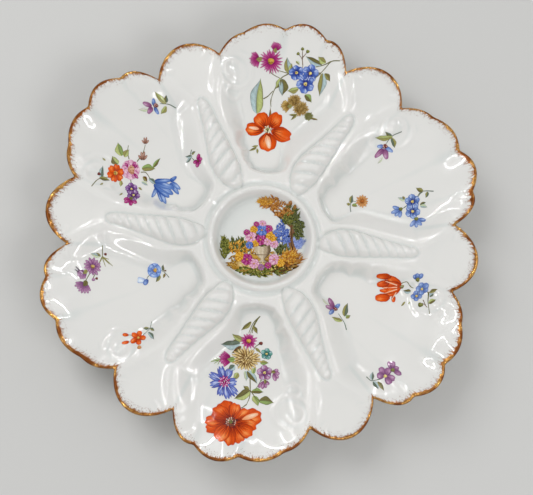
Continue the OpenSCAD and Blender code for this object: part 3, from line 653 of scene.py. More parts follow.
crest = between_spokes(top_rings[-1])
gold_count = len(crest)
gold_a = np.arctan2(crest[:, 1], crest[:, 0])
ragged = sum(share * np.sin(count * gold_a + start) for count, start, share in RAGGED_WAVES)
sides = np.cos(2 * (gold_a - math.radians(BROAD_A)))
broad = BROAD_MEAN + BROAD_SIDE * sides + BROAD_BEAT * np.sin(BROAD_BEATS * gold_a)
gold_in = GOLD_IN_MM * broad + GOLD_RAGGED_MM * ragged * (RAGGED_LEAST + broad)
gold_in = np.maximum(gold_in, GOLD_LEAST_MM)
inward = -crest[:, :2] / np.linalg.norm(crest[:, :2], axis=1)[:, None]
gold_rings = []
for share in np.linspace(1, 0, GOLD_ROWS):
    row = crest.copy()
    row[:, :2] += inward * (gold_in * share)[:, None]
    row[:, 2] = glaze_z(row[:, 0], row[:, 1])
    gold_rings.append(lifted(row, np.array((0, 0, GOLD_TOP_SHARE))))
for bend, ring in zip(edge_bends, edge_rings):
    out = np.concatenate([-inward * math.cos(bend), np.full((gold_count, 1), math.sin(bend))], 1)
    gold_rings.append(lifted(between_spokes(ring), out))
under_lip = between_spokes(mix(edge_rings[-1], under_rings[0], GOLD_UNDER_SHARE))
gold_rings.append(lifted(under_lip, np.array((0, 0, -1.0))))
gold_skin = mesh_piece("burnished_gold_edge", np.concatenate(gold_rings),
                       ring_faces(len(gold_rings), gold_count))
print("gold skin:", len(gold_skin.data.polygons), "faces")

# %% [markdown]
# Combed strokes of gold.
# Inside the ragged line the gilder flicks a great many short fine strokes towards the middle,
# and the gold lies so thin at their ends that it fires red-brown. They could be drawn with a
# hair system, which the exported model would lose. Each is a tapered strip laid on the glaze,
# with its place, length and lean drawn from one seeded list, so every run gives the same ones.

# %% Strokes and specks inside the gold line
COMB_STROKES, COMB_SPECKS = 2600, 1800
COMB_LONG_MM, COMB_WIDE_MM, COMB_LEAN = (0.7, 2.8), (0.16, 0.44), 0.45
COMB_LONG_LEAST, COMB_LONG_BROAD = 0.5, 0.6
COMB_POINTS, COMB_ROOT, COMB_TAPER, COMB_WORN = 5, 0.6, 0.85, 0.15
COMB_LIFT_MM = GOLD_LIFT_MM * 1.2
SPECK_IN_MM, SPECK_SIZE_MM, SPECK_REACH = (0.5, 3.4), (0.09, 0.22), 0.9
comb_random = random.Random(41)
comb_xy, comb_faces, comb_worn = [], [], []


def lay_strip(places, widths, across, worn):
    start = len(comb_xy)
    for place, width, share in zip(places, widths, worn):
        comb_xy.append(place - across * width / 2)
        comb_xy.append(place + across * width / 2)
        comb_worn.extend((share, share))
    for a in range(start, len(comb_xy) - 2, 2):
        comb_faces.append((a, a + 1, a + 3, a + 2))


for _ in range(COMB_STROKES):
    k = comb_random.randrange(gold_count)
    long_mm = comb_random.uniform(*COMB_LONG_MM) * comb_random.uniform(0.5, 1)
    lean = comb_random.uniform(-COMB_LEAN, COMB_LEAN)
    heading = inward[k] + lean * np.array((-inward[k][1], inward[k][0]))
    long_mm = long_mm * (COMB_LONG_LEAST + COMB_LONG_BROAD * broad[k])
    base = crest[k, :2] + inward[k] * gold_in[k] * COMB_ROOT
    shares = np.linspace(0, 1, COMB_POINTS)
    width = comb_random.uniform(*COMB_WIDE_MM)
    across = np.array((heading[1], -heading[0]))
    lay_strip([base + heading * long_mm * s for s in shares],
              [width * (1 - COMB_TAPER * s) for s in shares], across, mix(COMB_WORN, 1, shares))
for _ in range(COMB_SPECKS):
    k = comb_random.randrange(gold_count)
    size = comb_random.uniform(*SPECK_SIZE_MM)
    base = crest[k, :2] + inward[k] * (gold_in[k] + comb_random.uniform(*SPECK_IN_MM) * SPECK_REACH)
    across = np.array((inward[k][1], -inward[k][0]))
    lay_strip([base, base + inward[k] * size, base + inward[k] * 2 * size],
              [size * 0.6, size, size * 0.4], across, [0.9, 1, 1])
comb_xy = np.array(comb_xy)
comb_z = glaze_z(comb_xy[:, 0], comb_xy[:, 1]) + COMB_LIFT_MM
gold_comb = mesh_piece("combed_gold_strokes", np.column_stack([comb_xy, comb_z]), comb_faces)
print("combed strokes and specks:", COMB_STROKES + COMB_SPECKS)

# %% [markdown]
# The look of old gold on porcelain.
# Burnished gold is a metal, so its colour is the colour of what it reflects. A slow noise thins
# it to brown and dulls it where it has worn, and a finer one makes the burnisher's marks. The
# combed strokes carry how worn they are as an attribute, and redden towards their tips.

# %% Gilding materials
GOLD_YELLOW, GOLD_BROWN = ink(226, 176, 98), ink(122, 68, 28)
THIN_GOLD, THIN_RED = ink(190, 120, 48), ink(118, 60, 26)
WORN_SCALE, WORN_FROM, WORN_TO = 130, 0.34, 0.56
BRIGHT_ROUGH, DULL_ROUGH = 0.16, 0.34
MARK_SCALE, BURNISH_MARK_MM = 700, 0.08

burnished, nodes, links, shader = new_material("burnished_gold")
place = nodes.new("ShaderNodeTexCoord").outputs["Object"]
worn = noise_node(nodes, links, place, WORN_SCALE, 3, 0.6)
worn_share = range_node(nodes, links, worn, WORN_FROM, WORN_TO)
links.new(blend_node(nodes, links, worn_share, GOLD_YELLOW, GOLD_BROWN), shader.inputs["Base Color"])
marks = noise_node(nodes, links, place, MARK_SCALE, 2, 0.5)
add_bump(nodes, links, shader, marks, 0.5, BURNISH_MARK_MM)
worn_dull = range_node(nodes, links, worn, WORN_FROM, WORN_TO, BRIGHT_ROUGH, DULL_ROUGH)
links.new(worn_dull, shader.inputs["Roughness"])
shader.inputs["Metallic"].default_value = 0.9
gold_skin.data.materials.append(burnished)

thin_gold, nodes, links, shader = new_material("thin_brown_gold")
worn_tips = point_value(nodes, "worn")["Fac"]
links.new(blend_node(nodes, links, worn_tips, THIN_GOLD, THIN_RED), shader.inputs["Base Color"])
shader.inputs["Metallic"].default_value = 0.4
shader.inputs["Roughness"].default_value = 0.38
gold_comb.data.materials.append(thin_gold)
worn_attribute = gold_comb.data.attributes.new("worn", "FLOAT", "POINT")
worn_attribute.data.foreach_set("value", np.array(comb_worn, np.float32))
for piece in (gold_skin, gold_comb):
    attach(piece, "root")
    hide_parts("gilt_edge")
print("gilding:", burnished.name, thin_gold.name)

# %% [markdown]
# Brush strokes.
# The painter works fine enamel with a small soft brush, and a petal or a leaf is one loaded
# stroke: deep where the brush first touches, paler where it lifts, streaked by its hairs. A
# texture would need pictures of flowers. Here each stroke is a thin sheet of its own that
# follows the relief, with its colour kept on its points, and one class gathers a spray's
# strokes. A spray is drawn on its own small sheet of squares and set on the plate at one place.

# %% Strokes that make up a spray
PETAL_BODY, PETAL_RUN, PETAL_ROOT, PETAL_EDGE, PETAL_TIP = 0.40, 0.14, 0.40, 0.40, 0.26
GLOW_TONE, GLOW_LONG, GLOW_WIDE = 0.38, 0.20, 0.40
NOTCH_W, TEETH, TEETH_FROM, RUFFLE_COUNT = 0.3, 9, 0.9, 7
LEAF_COLUMNS, LEAF_ROWS = (-1, -0.82, -0.45, -0.10, 0, 0.10, 0.45, 0.82, 1), 17
LEAF_BEND, LEAF_RIBS, LEAF_EDGES = 0.08, 5, (0.8, 0.45)
VEIN_INK, VEIN_W, VEIN_SHADE = (72, 60, 34), 0.09, 0.85
STEM_SHADES, STEPS_PER_RUN = (0.72, 1.15, 0.85), 6
DAB_RINGS = (0.03, 0.55, 1)


def tones(deep, body, pale):
    return np.stack([ink(*deep), ink(*body), ink(*pale)])


def stroke_run(base, tip):
    base = np.array(base, float)
    run = np.array(tip, float) - base
    return base, run, np.array((-run[1], run[0])) / np.hypot(*run)


def swept(base, run, across, along_share, out):
    return base + along_share[..., None] * run + out[..., None] * across


class Spray:
    def __init__(self, middle_mm, square_mm, seed):
        self.middle, self.square = np.array(middle_mm), np.array(square_mm)
        self.random = random.Random(seed)
        self.rows = []

    def tinted(self, tone, palette, blush=0.07):
        shift = self.random.uniform(-blush, blush)
        tone = np.clip(tone + shift, 0, 1)[..., None] * 2
        low, high = np.clip(tone, 0, 1), np.clip(tone - 1, 0, 1)
        return mix(mix(palette[0], palette[1], low), palette[2], high)

    def lay(self, places, colours, layer):
        span = np.linalg.norm((places[-1] - places[0]) * self.square)
        count, wide = places.shape[:2]
        hairs = np.stack(np.meshgrid(np.linspace(0, span, count), np.arange(wide), indexing="ij"), 2)
        hairs = hairs + self.random.uniform(0, 90)
        self.rows.append((places, colours, hairs, layer))

    def petal(self, base, tip, width, palette, root=0.3, full=0.65, dome=0.5, notch=0.0,
              teeth=0.0, ruffle=0.0, glow=(0.65, 0.1), streak=0.14, bend=0.0, rows=9, columns=9,
              layer=2):
        base, run, across = stroke_run(base, tip)
        t, v = np.meshgrid(np.linspace(0, 1, rows), np.linspace(-1, 1, columns), indexing="ij")
        wide = root + (1 - root) * np.sin(np.pi / 2 * np.minimum(t / full, 1))
        end = 1 - dome * (1 - np.sqrt(1 - (0.98 * v) ** 2)) - notch * np.exp(-(v / NOTCH_W) ** 2)
        end = end + teeth * np.sign(np.sin(v * TEETH + 0.6)) * (t > TEETH_FROM)
        end = end + ruffle * np.cos(RUFFLE_COUNT * v + self.random.uniform(0, 6))
        wander = 1 + 0.05 * np.sin(5 * t + self.random.uniform(0, 6))
        sway = bend * width * np.sin(np.pi * t)
        places = swept(base, run, across, t * end, v * wide * wander * width / 2 + sway)
        near_glow = ((t - glow[0]) / GLOW_LONG) ** 2 + ((v - glow[1]) / GLOW_WIDE) ** 2
        tone = PETAL_BODY + PETAL_RUN * t - PETAL_ROOT * (1 - t) ** 3
        tone = tone + GLOW_TONE * np.exp(-near_glow)
        tone = tone - PETAL_EDGE * np.abs(v) ** 4 - PETAL_TIP * t ** 8
        hair = [self.random.uniform(-streak, streak) for _ in range(columns)]
        tone = tone + np.array(hair)[None, :] * (1.4 - t)
        self.lay(places, self.tinted(tone, palette), layer)

    def leaf(self, base, tip, width, left, right=None, layer=0):
        base, run, across = stroke_run(base, tip)
        right = left if right is None else right
        t, v = np.meshgrid(np.linspace(0, 1, LEAF_ROWS), np.array(LEAF_COLUMNS), indexing="ij")
        wide = np.maximum(np.sin(np.pi * t ** 0.8) ** (0.7 + 0.6 * t), 0.02)
        phase = self.random.uniform(0, 6)
        wander = 1 + 0.10 * np.sin(9 * t + phase + 2 * (v > 0))
        sway = LEAF_BEND * width * np.sin(np.pi * t) * 1.6
        places = swept(base, run, across, t, v * wide * wander * width / 2 + sway)
        ribs = np.cos(2 * np.pi * (LEAF_RIBS * t - 0.8 * np.abs(v)) + phase)
        mid_half = np.exp(-((np.abs(v) - 0.5) / 0.3) ** 2)
        shade = 1.06 + 0.20 * ribs * np.abs(v) - 0.16 * t ** 3 + 0.16 * mid_half
        half = np.where(v[..., None] > 0, ink(*left), ink(*right)) * shade[..., None]
        edge = LEAF_EDGES[0] * (v < -0.9) + LEAF_EDGES[1] * (v > 0.9)
        rib_lines = 0.75 * np.clip(ribs - 0.4, 0, 1) * np.clip(0.3 - v, 0, 1)
        dark = VEIN_SHADE * np.exp(-(v / VEIN_W) ** 2) * (1 - 0.6 * t)
        dark = dark + edge * np.sin(np.pi * t) ** 0.5 + 0.6 * t ** 3 * np.abs(v) + rib_lines
        self.lay(places, mix(half, ink(*VEIN_INK), np.clip(dark, 0, 0.9)[..., None]), layer)

    def stem(self, points, width, colour, taper=0.55, layer=0):
        points = np.array(points, float)
        at_s = np.linspace(0, len(points) - 1, STEPS_PER_RUN * (len(points) - 1) + 1)
        table = [[(k, p[axis]) for k, p in enumerate(points)] for axis in (0, 1)]
        line = np.stack([curve(at_s, rows) for rows in table], 1)
        heading = np.gradient(line, axis=0)
        across = np.stack([-heading[:, 1], heading[:, 0]], 1) / np.hypot(*heading.T)[:, None]
        thin = width * (1 - (1 - taper) * at_s / at_s[-1]) / 2
        v = np.array((-1, 0, 1))
        places = line[:, None] + (v[None] * thin[:, None])[..., None] * across[:, None]
        shade = np.array(STEM_SHADES)[None, :, None] * np.ones((len(line), 1, 1))
        self.lay(places, np.clip(ink(*colour) * shade, 0, 1), layer)

    def dab(self, middle, size, palette, sides=12, glow=0.55, layer=3):
        r, a = np.meshgrid(DAB_RINGS, np.linspace(0, 2 * np.pi, sides + 1), indexing="ij")
        wander = 1 + 0.10 * np.sin(3 * a + self.random.uniform(0, 6)) * (r > 0.9)
        x, y = r * wander * np.cos(a) * size[0], r * wander * np.sin(a) * size[1]
        places = np.array(middle, float) + np.stack([x, y], 2)
        tone = 0.5 + glow * 0.6 * (0.6 - r) + 0.22 * np.sin(a + 0.6) * r
        self.lay(places, self.tinted(tone, palette), layer)

    def dots(self, middle, spread, count, size, colour, layer=5):
        for _ in range(count):
            a, r = self.random.uniform(0, 2 * math.pi), math.sqrt(self.random.random())
            place = (middle[0] + spread[0] * r * math.cos(a), middle[1] + spread[1] * r * math.sin(a))
            grain = self.random.uniform(0.7, 1.2) * size
            self.dab(place, (grain, grain), tones(colour, colour, colour), sides=6, layer=layer)


# %% [markdown]
# Enamel.
# Fired enamel sinks into the glaze and keeps its deep colour, so the strokes get a thin coat and
# little reflection of their own: a strong one would lay a grey veil over every red and blue.
# Their colour comes from the points, multiplied by a noise that is drawn out along each stroke.
# It reads as the hairs of the brush, and the same noise raises fine ridges.

# %% Enamel material
HAIR_SCALE, HAIR_RIDGE_MM = 1.6, 0.04
HAIR_DARK, HAIR_LIGHT = 0.72, 1.16

enamel, nodes, links, shader = new_material("fired_enamel")
hair_noise = noise_node(nodes, links, point_value(nodes, "hairs")["Vector"], HAIR_SCALE, 2, 0.6)
strength = range_node(nodes, links, hair_noise, 0.3, 0.7, HAIR_DARK, HAIR_LIGHT)
streaked = nodes.new("ShaderNodeVectorMath")
streaked.operation = "SCALE"
links.new(point_value(nodes, "paint")["Color"], streaked.inputs[0])
links.new(strength, streaked.inputs["Scale"])
links.new(streaked.outputs["Vector"], shader.inputs["Base Color"])
add_bump(nodes, links, shader, hair_noise, 0.3, HAIR_RIDGE_MM)
shader.inputs["Roughness"].default_value = 0.24
shader.inputs["Specular IOR Level"].default_value = 0.08
shader.inputs["Coat Weight"].default_value = 0.2
shader.inputs["Coat Roughness"].default_value = 0.05
print("enamel:", enamel.name)

# %% [markdown]
# Firing a spray on to the plate.
# Each layer stands a little above the one under it, and each stroke a trace above the last,
# twenty to a round, so that paint lies over paint. Sheets that share one height would flicker
# through each other. Then every face is turned to look up, and the spray becomes one piece.

# %% Set a spray on the plate
COAT_LIFT_MM, LAYER_LIFT_MM, STROKE_LIFT_MM, STROKE_LIFTS = 0.075, 0.016, 0.0006, 20


def fire(spray, name, node):
    points, colours, hair_rows, faces = [], [], [], []
    start = 0
    for stroke, (places, paint_rows, hair_row, layer) in enumerate(spray.rows):
        count, wide = places.shape[:2]
        xy = spray.middle + (places * spray.square).reshape(-1, 2)
        lift = COAT_LIFT_MM + LAYER_LIFT_MM * layer + STROKE_LIFT_MM * (stroke % STROKE_LIFTS)
        points.append(np.column_stack([xy, glaze_z(xy[:, 0], xy[:, 1]) + lift]))
        colours.append(np.broadcast_to(paint_rows, (count, wide, 3)).reshape(-1, 3))
        hair_rows.append(hair_row.reshape(-1, 2))
        cells = start + np.arange((count - 1) * wide).reshape(count - 1, wide)[:, :-1].ravel()
        quads = np.stack([cells, cells + wide, cells + wide + 1, cells + 1], 1)
        a, b, c, d = (points[-1][quads[:, k] - start] for k in range(4))
        area = (c - a)[:, 0] * (d - b)[:, 1] - (c - a)[:, 1] * (d - b)[:, 0]
        faces += np.where(area[:, None] > 0, quads, quads[:, ::-1]).tolist()
        start += count * wide
    piece = mesh_piece(name, np.concatenate(points), faces)
    colours = np.clip(np.concatenate(colours), 0, 1)
    shown = piece.data.attributes.new("paint", "FLOAT_COLOR", "POINT")
    shown.data.foreach_set("color", np.column_stack([colours, np.ones(len(colours))]).ravel())
    drawn = piece.data.attributes.new("hairs", "FLOAT_VECTOR", "POINT")
    rows = np.concatenate(hair_rows)
    drawn.data.foreach_set("vector", np.column_stack([rows, np.zeros(len(rows))]).ravel())
    piece.data.materials.append(enamel)
    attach(piece, "root")
    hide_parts(node)
    print(name, len(spray.rows), "strokes", len(faces), "faces")


# %% [markdown]
# The painter's colours.
# Each colour is three mixes of one pigment: deep for shadow, body, and pale where it thins.

# %% Palettes
POPPY_RED = tones((164, 44, 0), (228, 84, 4), (248, 160, 84))
MAGENTA = tones((122, 16, 82), (172, 44, 120), (220, 150, 196))
ROSE_PINK = tones((176, 70, 130), (226, 176, 200), (244, 224, 230))
LILAC = tones((106, 58, 108), (160, 108, 150), (212, 178, 204))
VIOLET = tones((84, 40, 104), (130, 82, 148), (190, 152, 198))
MAUVE = tones((112, 54, 102), (168, 112, 152), (222, 192, 214))
SKY_BLUE = tones((46, 68, 150), (92, 122, 200), (184, 202, 236))
FORGET_BLUE = tones((62, 86, 150), (116, 144, 204), (186, 206, 236))
TULIP_BLUE = tones((44, 78, 156), (94, 130, 196), (192, 210, 238))
CORN_BLUE = tones((62, 60, 146), (110, 130, 204), (206, 216, 240))
PALE_BLUE = tones((70, 100, 180), (130, 165, 225), (214, 228, 246))
AMBER = tones((128, 70, 22), (204, 140, 78), (238, 202, 148))
TAN_CREAM = tones((98, 68, 22), (178, 142, 70), (238, 218, 156))
OCHRE_EYE = tones((120, 72, 20), (204, 156, 60), (244, 222, 130))
LEMON_EYE = tones((176, 140, 50), (232, 212, 120), (250, 240, 180))
CLARET = tones((58, 26, 26), (110, 50, 46), (160, 96, 80))
TEAL = tones((40, 96, 92), (96, 156, 146), (176, 208, 196))
OLIVE_MIX = tones((62, 62, 28), (110, 112, 52), (176, 180, 110))
BLUE_GREY, DEEP_OLIVE, OLIVE = (168, 188, 190), (110, 104, 60), (148, 144, 84)
FRESH_GREEN, YELLOW_GREEN, PALE_GREEN = (138, 162, 94), (178, 188, 120), (196, 208, 174)
DARK_TEAL, WOOD_BROWN, STEM_GREEN = (98, 114, 98), (104, 70, 36), (108, 106, 60)
STAMEN_DARK, STAMEN_PALE, HUSK_CREAM = (66, 32, 46), (240, 200, 190), (226, 224, 214)
POPPY_VEIN, POPPY_CREASE = (104, 22, 4), (128, 34, 8)

# %% [markdown]
# Flowers that come back.
# The same few flowers appear in every spray: asters of narrow rays, round flowers of five
# petals, shaggy chrysanthemums and open stars of a few broad petals. A function for each keeps
# a spray's own cell down to where its flowers stand and how they face.


# %% Asters
FLOWER_LAYER = 2
ASTER_RINGS = ((1.06, 0.0), (0.80, 0.5))


def ahead(place, a, far):
    return (place[0] + far * math.cos(math.radians(a)), place[1] + far * math.sin(math.radians(a)))


def aster(spray, place, radius, rays, palette, eye, eye_share=0.27, plump=3.5, dome=0.85):
    for ring, (share, offset) in enumerate(ASTER_RINGS):
        for k in range(rays):
            a = 360 * (k + offset) / rays + spray.random.uniform(-4, 4)
            far = radius * share * spray.random.uniform(0.84, 1.06)
            spray.petal(ahead(place, a, 0.2 * radius), ahead(place, a, far),
                        (plump - 0.5 * ring) * radius / rays, palette, root=0.35, full=0.6,
                        dome=dome, glow=(0.8, 0.0), rows=7, columns=7, layer=FLOWER_LAYER + ring)
    eye_r = radius * eye_share
    spray.dab(place, (eye_r, eye_r * 0.92), eye, layer=FLOWER_LAYER + 2)
    spray.dots((place[0], place[1] - eye_r * 0.5), (eye_r * 0.8, eye_r * 0.35), 7, radius * 0.045,
               WOOD_BROWN, layer=FLOWER_LAYER + 3)


def side_aster(spray, base, facing, radius, spread, rays, palette, calyx=DEEP_OLIVE):
    for k in range(rays):
        share = (k + 0.5) / rays - 0.5
        a = facing + spread * share
        far = radius * (1.1 - 0.35 * abs(share)) * spray.random.uniform(0.85, 1.05)
        spray.petal(ahead(base, a, 0.1 * radius), ahead(base, a, far), 2.6 * radius / rays + 0.4,
                    palette, root=0.3, full=0.65, dome=0.8, glow=(0.8, 0), rows=6, columns=5,
                    layer=FLOWER_LAYER)
    spray.leaf(ahead(base, facing + 180, 0.34 * radius), ahead(base, facing, 0.34 * radius),
               0.5 * radius, calyx, layer=FLOWER_LAYER + 1)


# %% Round flowers of five petals
PETALS = 5
VEIN_FANS_A = (-13, 4, 17)
GLEAM_ROUTE = ((12, 0.5), (17, 0.8), (6, 0.97))


def five_petals(spray, place, radius, palette, turn=90, lean=1.0, vein=(40, 42, 120),
                gleam=(206, 216, 244)):
    for k in range(PETALS):
        a = turn + 360 * k / PETALS
        tip = ahead(place, a, radius)
        tip = (tip[0], place[1] + (tip[1] - place[1]) * lean)
        base = ahead(place, a, radius * 0.12)
        spray.petal(base, tip, 4.7 * radius / PETALS, palette, root=0.22, full=0.72, dome=0.5,
                    ruffle=0.03, glow=(0.74, 0.3 * (-1) ** k), streak=0.2,
                    layer=FLOWER_LAYER + k % 2)
        for fan in VEIN_FANS_A:
            end = ahead(place, a + fan, radius * spray.random.uniform(0.5, 0.7))
            spray.stem([ahead(place, a + fan, radius * 0.18), end], radius * 0.075, vein,
                       taper=0.3, layer=FLOWER_LAYER + 2)
        edge = [ahead(place, a + fan, radius * share) for fan, share in GLEAM_ROUTE]
        spray.stem(edge, radius * 0.08, gleam, taper=0.5, layer=FLOWER_LAYER + 2)
    spray.dab(place, (radius * 0.19, radius * 0.19 * lean), LEMON_EYE, layer=FLOWER_LAYER + 3)
    spray.dots(place, (radius * 0.2, radius * 0.2), 5, radius * 0.05, WOOD_BROWN,
               layer=FLOWER_LAYER + 4)


# %% Shaggy flowers
SHAGGY_HEART = 0.36


def on_oval(place, size, share, turn):
    return (place[0] + size[0] * share * math.cos(turn), place[1] + size[1] * share * math.sin(turn))


def shaggy(spray, place, size, palette, crease=WOOD_BROWN, rays=15):
    for ring, (share, count) in enumerate(((1.0, rays), (0.70, rays * 3 // 4), (0.42, rays // 2))):
        for k in range(count):
            a = math.radians(360 * (k + 0.5 * ring) / count + spray.random.uniform(-5, 5))
            gap = a + math.pi / count
            far = share * spray.random.uniform(0.86, 1.06)
            wide = 5.2 * share * min(size) / count
            spray.petal(on_oval(place, size, share * SHAGGY_HEART, a), on_oval(place, size, far, a),
                        wide, palette, root=0.5, full=0.7, dome=0.7, bend=0.15, rows=6, columns=5,
                        layer=FLOWER_LAYER + ring)
            between = [on_oval(place, size, share * SHAGGY_HEART, gap),
                       on_oval(place, size, far * 0.86, gap)]
            spray.stem(between, 0.4 * wide, crease, taper=0.25, layer=FLOWER_LAYER + ring + 1)
    middle = (size[0] * 0.2, size[1] * 0.2)
    spray.dab(place, middle, palette, layer=FLOWER_LAYER + 5)
    spray.dots(place, middle, 8, min(size) * 0.05, crease, layer=FLOWER_LAYER + 6)


# %% Open flowers, and rows of leaves and stems
def star(spray, place, tips, width, palette, root=0.3, dome=0.45, notch=0.0, teeth=0.0,
         layer=FLOWER_LAYER):
    for k, tip in enumerate(tips):
        run = np.subtract(tip, place)
        spray.petal(np.add(place, 0.08 * run), tip, width, palette, root=root, dome=dome,
                    notch=notch, teeth=teeth, ruffle=0.02, glow=(0.7, 0.3 * (-1) ** k),
                    streak=0.18, layer=layer + k % 2)


def round_tips(place, radius, count, turn=90):
    return [ahead(place, turn + 360 * k / count, radius) for k in range(count)]


def heart(spray, middle, size, palette, spread, count, grain, colour, layer=5):
    spray.dab(middle, size, palette, layer=layer)
    spray.dots(middle, spread, count, grain, colour, layer=layer + 1)


def vein(spray, base, tip, start, end, fan, width, colour, lean=0.0, taper=0.2, layer=5):
    run = np.subtract(tip, base)
    aside = np.array((-run[1], run[0])) * fan
    route = [np.add(base, start * run + lean * aside), np.add(base, end * run + aside)]
    spray.stem(route, width, colour, taper=taper, layer=layer)


def leaves(spray, rows, layer=0):
    for base, tip, width, left, right in rows:
        spray.leaf(base, tip, width, left, right, layer=layer)


def stems(spray, routes, width=1.1, colour=STEM_GREEN, layer=0):
    for route in routes:
        spray.stem(route, width, colour, layer=layer)


def strokes(spray, rows, width, colour, layer=1):
    for base, tip in rows:
        spray.stem([base, tip], width, colour, layer=layer)


# %% [markdown]
# The top bouquet.
# A red poppy, a magenta aster with two side heads, forget-me-nots and shaggy tan flowers. Each
# kind is a piece of its own, laid over the leaves and stems, in the order a painter works.

# %% Top bouquet: leaves, stems and buds
TOP_AT, TOP_SQUARE = (3.5, 60.8), (0.512, 0.522)
greens = Spray(TOP_AT, TOP_SQUARE, 1)
stems(greens,
      [[(75, 66.5), (66.5, 66.5), (60.5, 61), (55.5, 56)], [(66, 66.5), (58, 63.5), (50, 62)],
       [(32, 56), (22.5, 56), (10.5, 59)], [(22.5, 56), (13.5, 51), (6.5, 39), (3.5, 31)],
       [(3.5, 31), (3.2, 27), (3.5, 23)], [(-4.5, 31), (0.5, 34), (5.5, 39)], [(55.5, 56), (48, 50)],
       [(55.5, 56), (44, 57), (32, 56)], [(3, 60), (4, 56), (13.5, 51)]])
stems(greens, [[(36.5, 64), (35.5, 70), (31.5, 75)], [(36, 69), (36, 79.5)],
               [(36, 71), (41.5, 77)], [(36, 58), (36.5, 64)]], 0.8, WOOD_BROWN)
leaves(greens,
       [((-11.5, 16), (-7.5, 51), 14.5, BLUE_GREY, YELLOW_GREEN),
        ((23, 56), (20, 72), 8, OLIVE, BLUE_GREY), ((24, 56), (25, 66), 5, YELLOW_GREEN, OLIVE),
        ((14.5, 51), (15, 34), 11, DEEP_OLIVE, BLUE_GREY),
        ((13.5, 51.5), (8, 41), 6, DEEP_OLIVE, YELLOW_GREEN),
        ((57.5, 56), (54, 33), 8.5, BLUE_GREY, OLIVE), ((59.5, 55.5), (65, 47), 5, DEEP_OLIVE, OLIVE),
        ((56.5, 63.5), (39.5, 72.5), 7, BLUE_GREY, DEEP_OLIVE),
        ((60.5, 65.5), (52.5, 72), 6, YELLOW_GREEN, OLIVE),
        ((32.5, 41), (20.5, 39), 6, OLIVE, YELLOW_GREEN),
        ((39, 35), (46, 27), 6.5, FRESH_GREEN, DEEP_OLIVE),
        ((29.5, 68), (33, 64), 3, PALE_GREEN, OLIVE), ((31, 16), (24, 9.5), 2.6, OLIVE, DEEP_OLIVE),
        ((30, 15.5), (22, 15), 2.2, DEEP_OLIVE, OLIVE),
        ((45.5, 11), (52.5, 7.5), 2.4, OLIVE, WOOD_BROWN), ((-10, -17), (-17, -18), 2.2, OLIVE, OLIVE),
        ((-11.5, -19), (-20, -22.5), 2.4, OLIVE, DEEP_OLIVE),
        ((-11, -20), (-11, -26), 2.2, OLIVE, OLIVE),
        ((3.5, 2), (3, 23), 3.4, WOOD_BROWN, (170, 130, 70))])
for bud, size in (((31.5, 75), 1.7), ((36, 79.5), 1.7), ((41.5, 77), 1.9)):
    greens.dab(bud, (size, size * 0.9), OLIVE_MIX, layer=1)
fire(greens, "top_leaves_and_stems", "top_bouquet")

# %% Top bouquet: poppy
poppy = Spray(TOP_AT, TOP_SQUARE, 2)
OPEN_POPPY = [((0.5, -3), (-0.5, -23), 19, 0.02, (0.6, -0.1)),
              ((-1.5, 1.5), (-10.5, 16.5), 15.5, 0.05, (0.6, 0.3)),
              ((2, 2), (13, 16), 15.5, 0.03, (0.55, -0.2)),
              ((4, -1), (24.5, -9), 15, 0.04, (0.35, 0.2)),
              ((-4, -0.5), (-23.5, 0.5), 14, 0.04, (0.7, 0.2))]
for base, tip, width, notch, glow in OPEN_POPPY:
    poppy.petal(base, tip, width, POPPY_RED, root=0.22, full=0.75, dome=0.44, notch=notch,
                glow=glow, ruffle=0.035, streak=0.22, rows=12, columns=13)
    for fan in (-0.24, -0.08, 0.08, 0.24):
        vein(poppy, base, tip, 0.1, 0.55, fan, 0.8, POPPY_VEIN, lean=0.3, layer=3)
poppy.petal((-1, -6), (2, -20), 6, tones((240, 160, 110), (250, 214, 186), (255, 240, 226)),
            dome=0.6, root=0.1, rows=8, columns=7, layer=4)
poppy.petal((-9, 0.5), (-20, 2), 3.6, tones((240, 160, 110), (250, 204, 170), (255, 236, 220)),
            dome=0.6, root=0.1, rows=8, columns=5, layer=4)
star(poppy, (0, 0), round_tips((0, 0), 4.2, 7, 80), 2.0,
     tones((214, 190, 130), (240, 230, 196), (250, 248, 234)), layer=5)
poppy.dots((0, 0), (4.0, 3.6), 26, 0.42, STAMEN_DARK, layer=7)
poppy.dab((0, 0), (1.5, 1.4), OLIVE_MIX, layer=8)
fire(poppy, "top_poppy", "top_bouquet")

# %% Top bouquet: asters
asters = Spray(TOP_AT, TOP_SQUARE, 3)
aster(asters, (3, 68), 12.4, 22, MAGENTA, OCHRE_EYE, eye_share=0.27)
side_aster(asters, (-9.5, 70), 190, 10, 150, 13, MAGENTA, calyx=OLIVE)
side_aster(asters, (8, 79), 85, 8, 130, 10, MAGENTA, calyx=OLIVE)
fire(asters, "top_asters", "top_bouquet")

# %% Top bouquet: forget-me-nots
blues = Spray(TOP_AT, TOP_SQUARE, 4)
five_petals(blues, (30, 56.5), 8.2, SKY_BLUE, turn=100, lean=0.9)
five_petals(blues, (44.5, 56), 8.8, SKY_BLUE, turn=76)
five_petals(blues, (39.5, 45.5), 9.6, SKY_BLUE, turn=112)
fire(blues, "top_forget_me_nots", "top_bouquet")

# %% Top bouquet: shaggy flowers
TAN_CREASE = (70, 44, 16)
tans = Spray(TOP_AT, TOP_SQUARE, 5)
side_aster(tans, (23, 24), 185, 8.5, 120, 9, TAN_CREAM, calyx=OLIVE)
shaggy(tans, (28, 29), (7.4, 6.8), TAN_CREAM, TAN_CREASE, rays=17)
shaggy(tans, (35, 21), (8.6, 8.0), TAN_CREAM, TAN_CREASE, rays=19)
shaggy(tans, (43, 13), (5.2, 5.0), OLIVE_MIX, DEEP_OLIVE)
fire(tans, "top_shaggy_flowers", "top_bouquet")

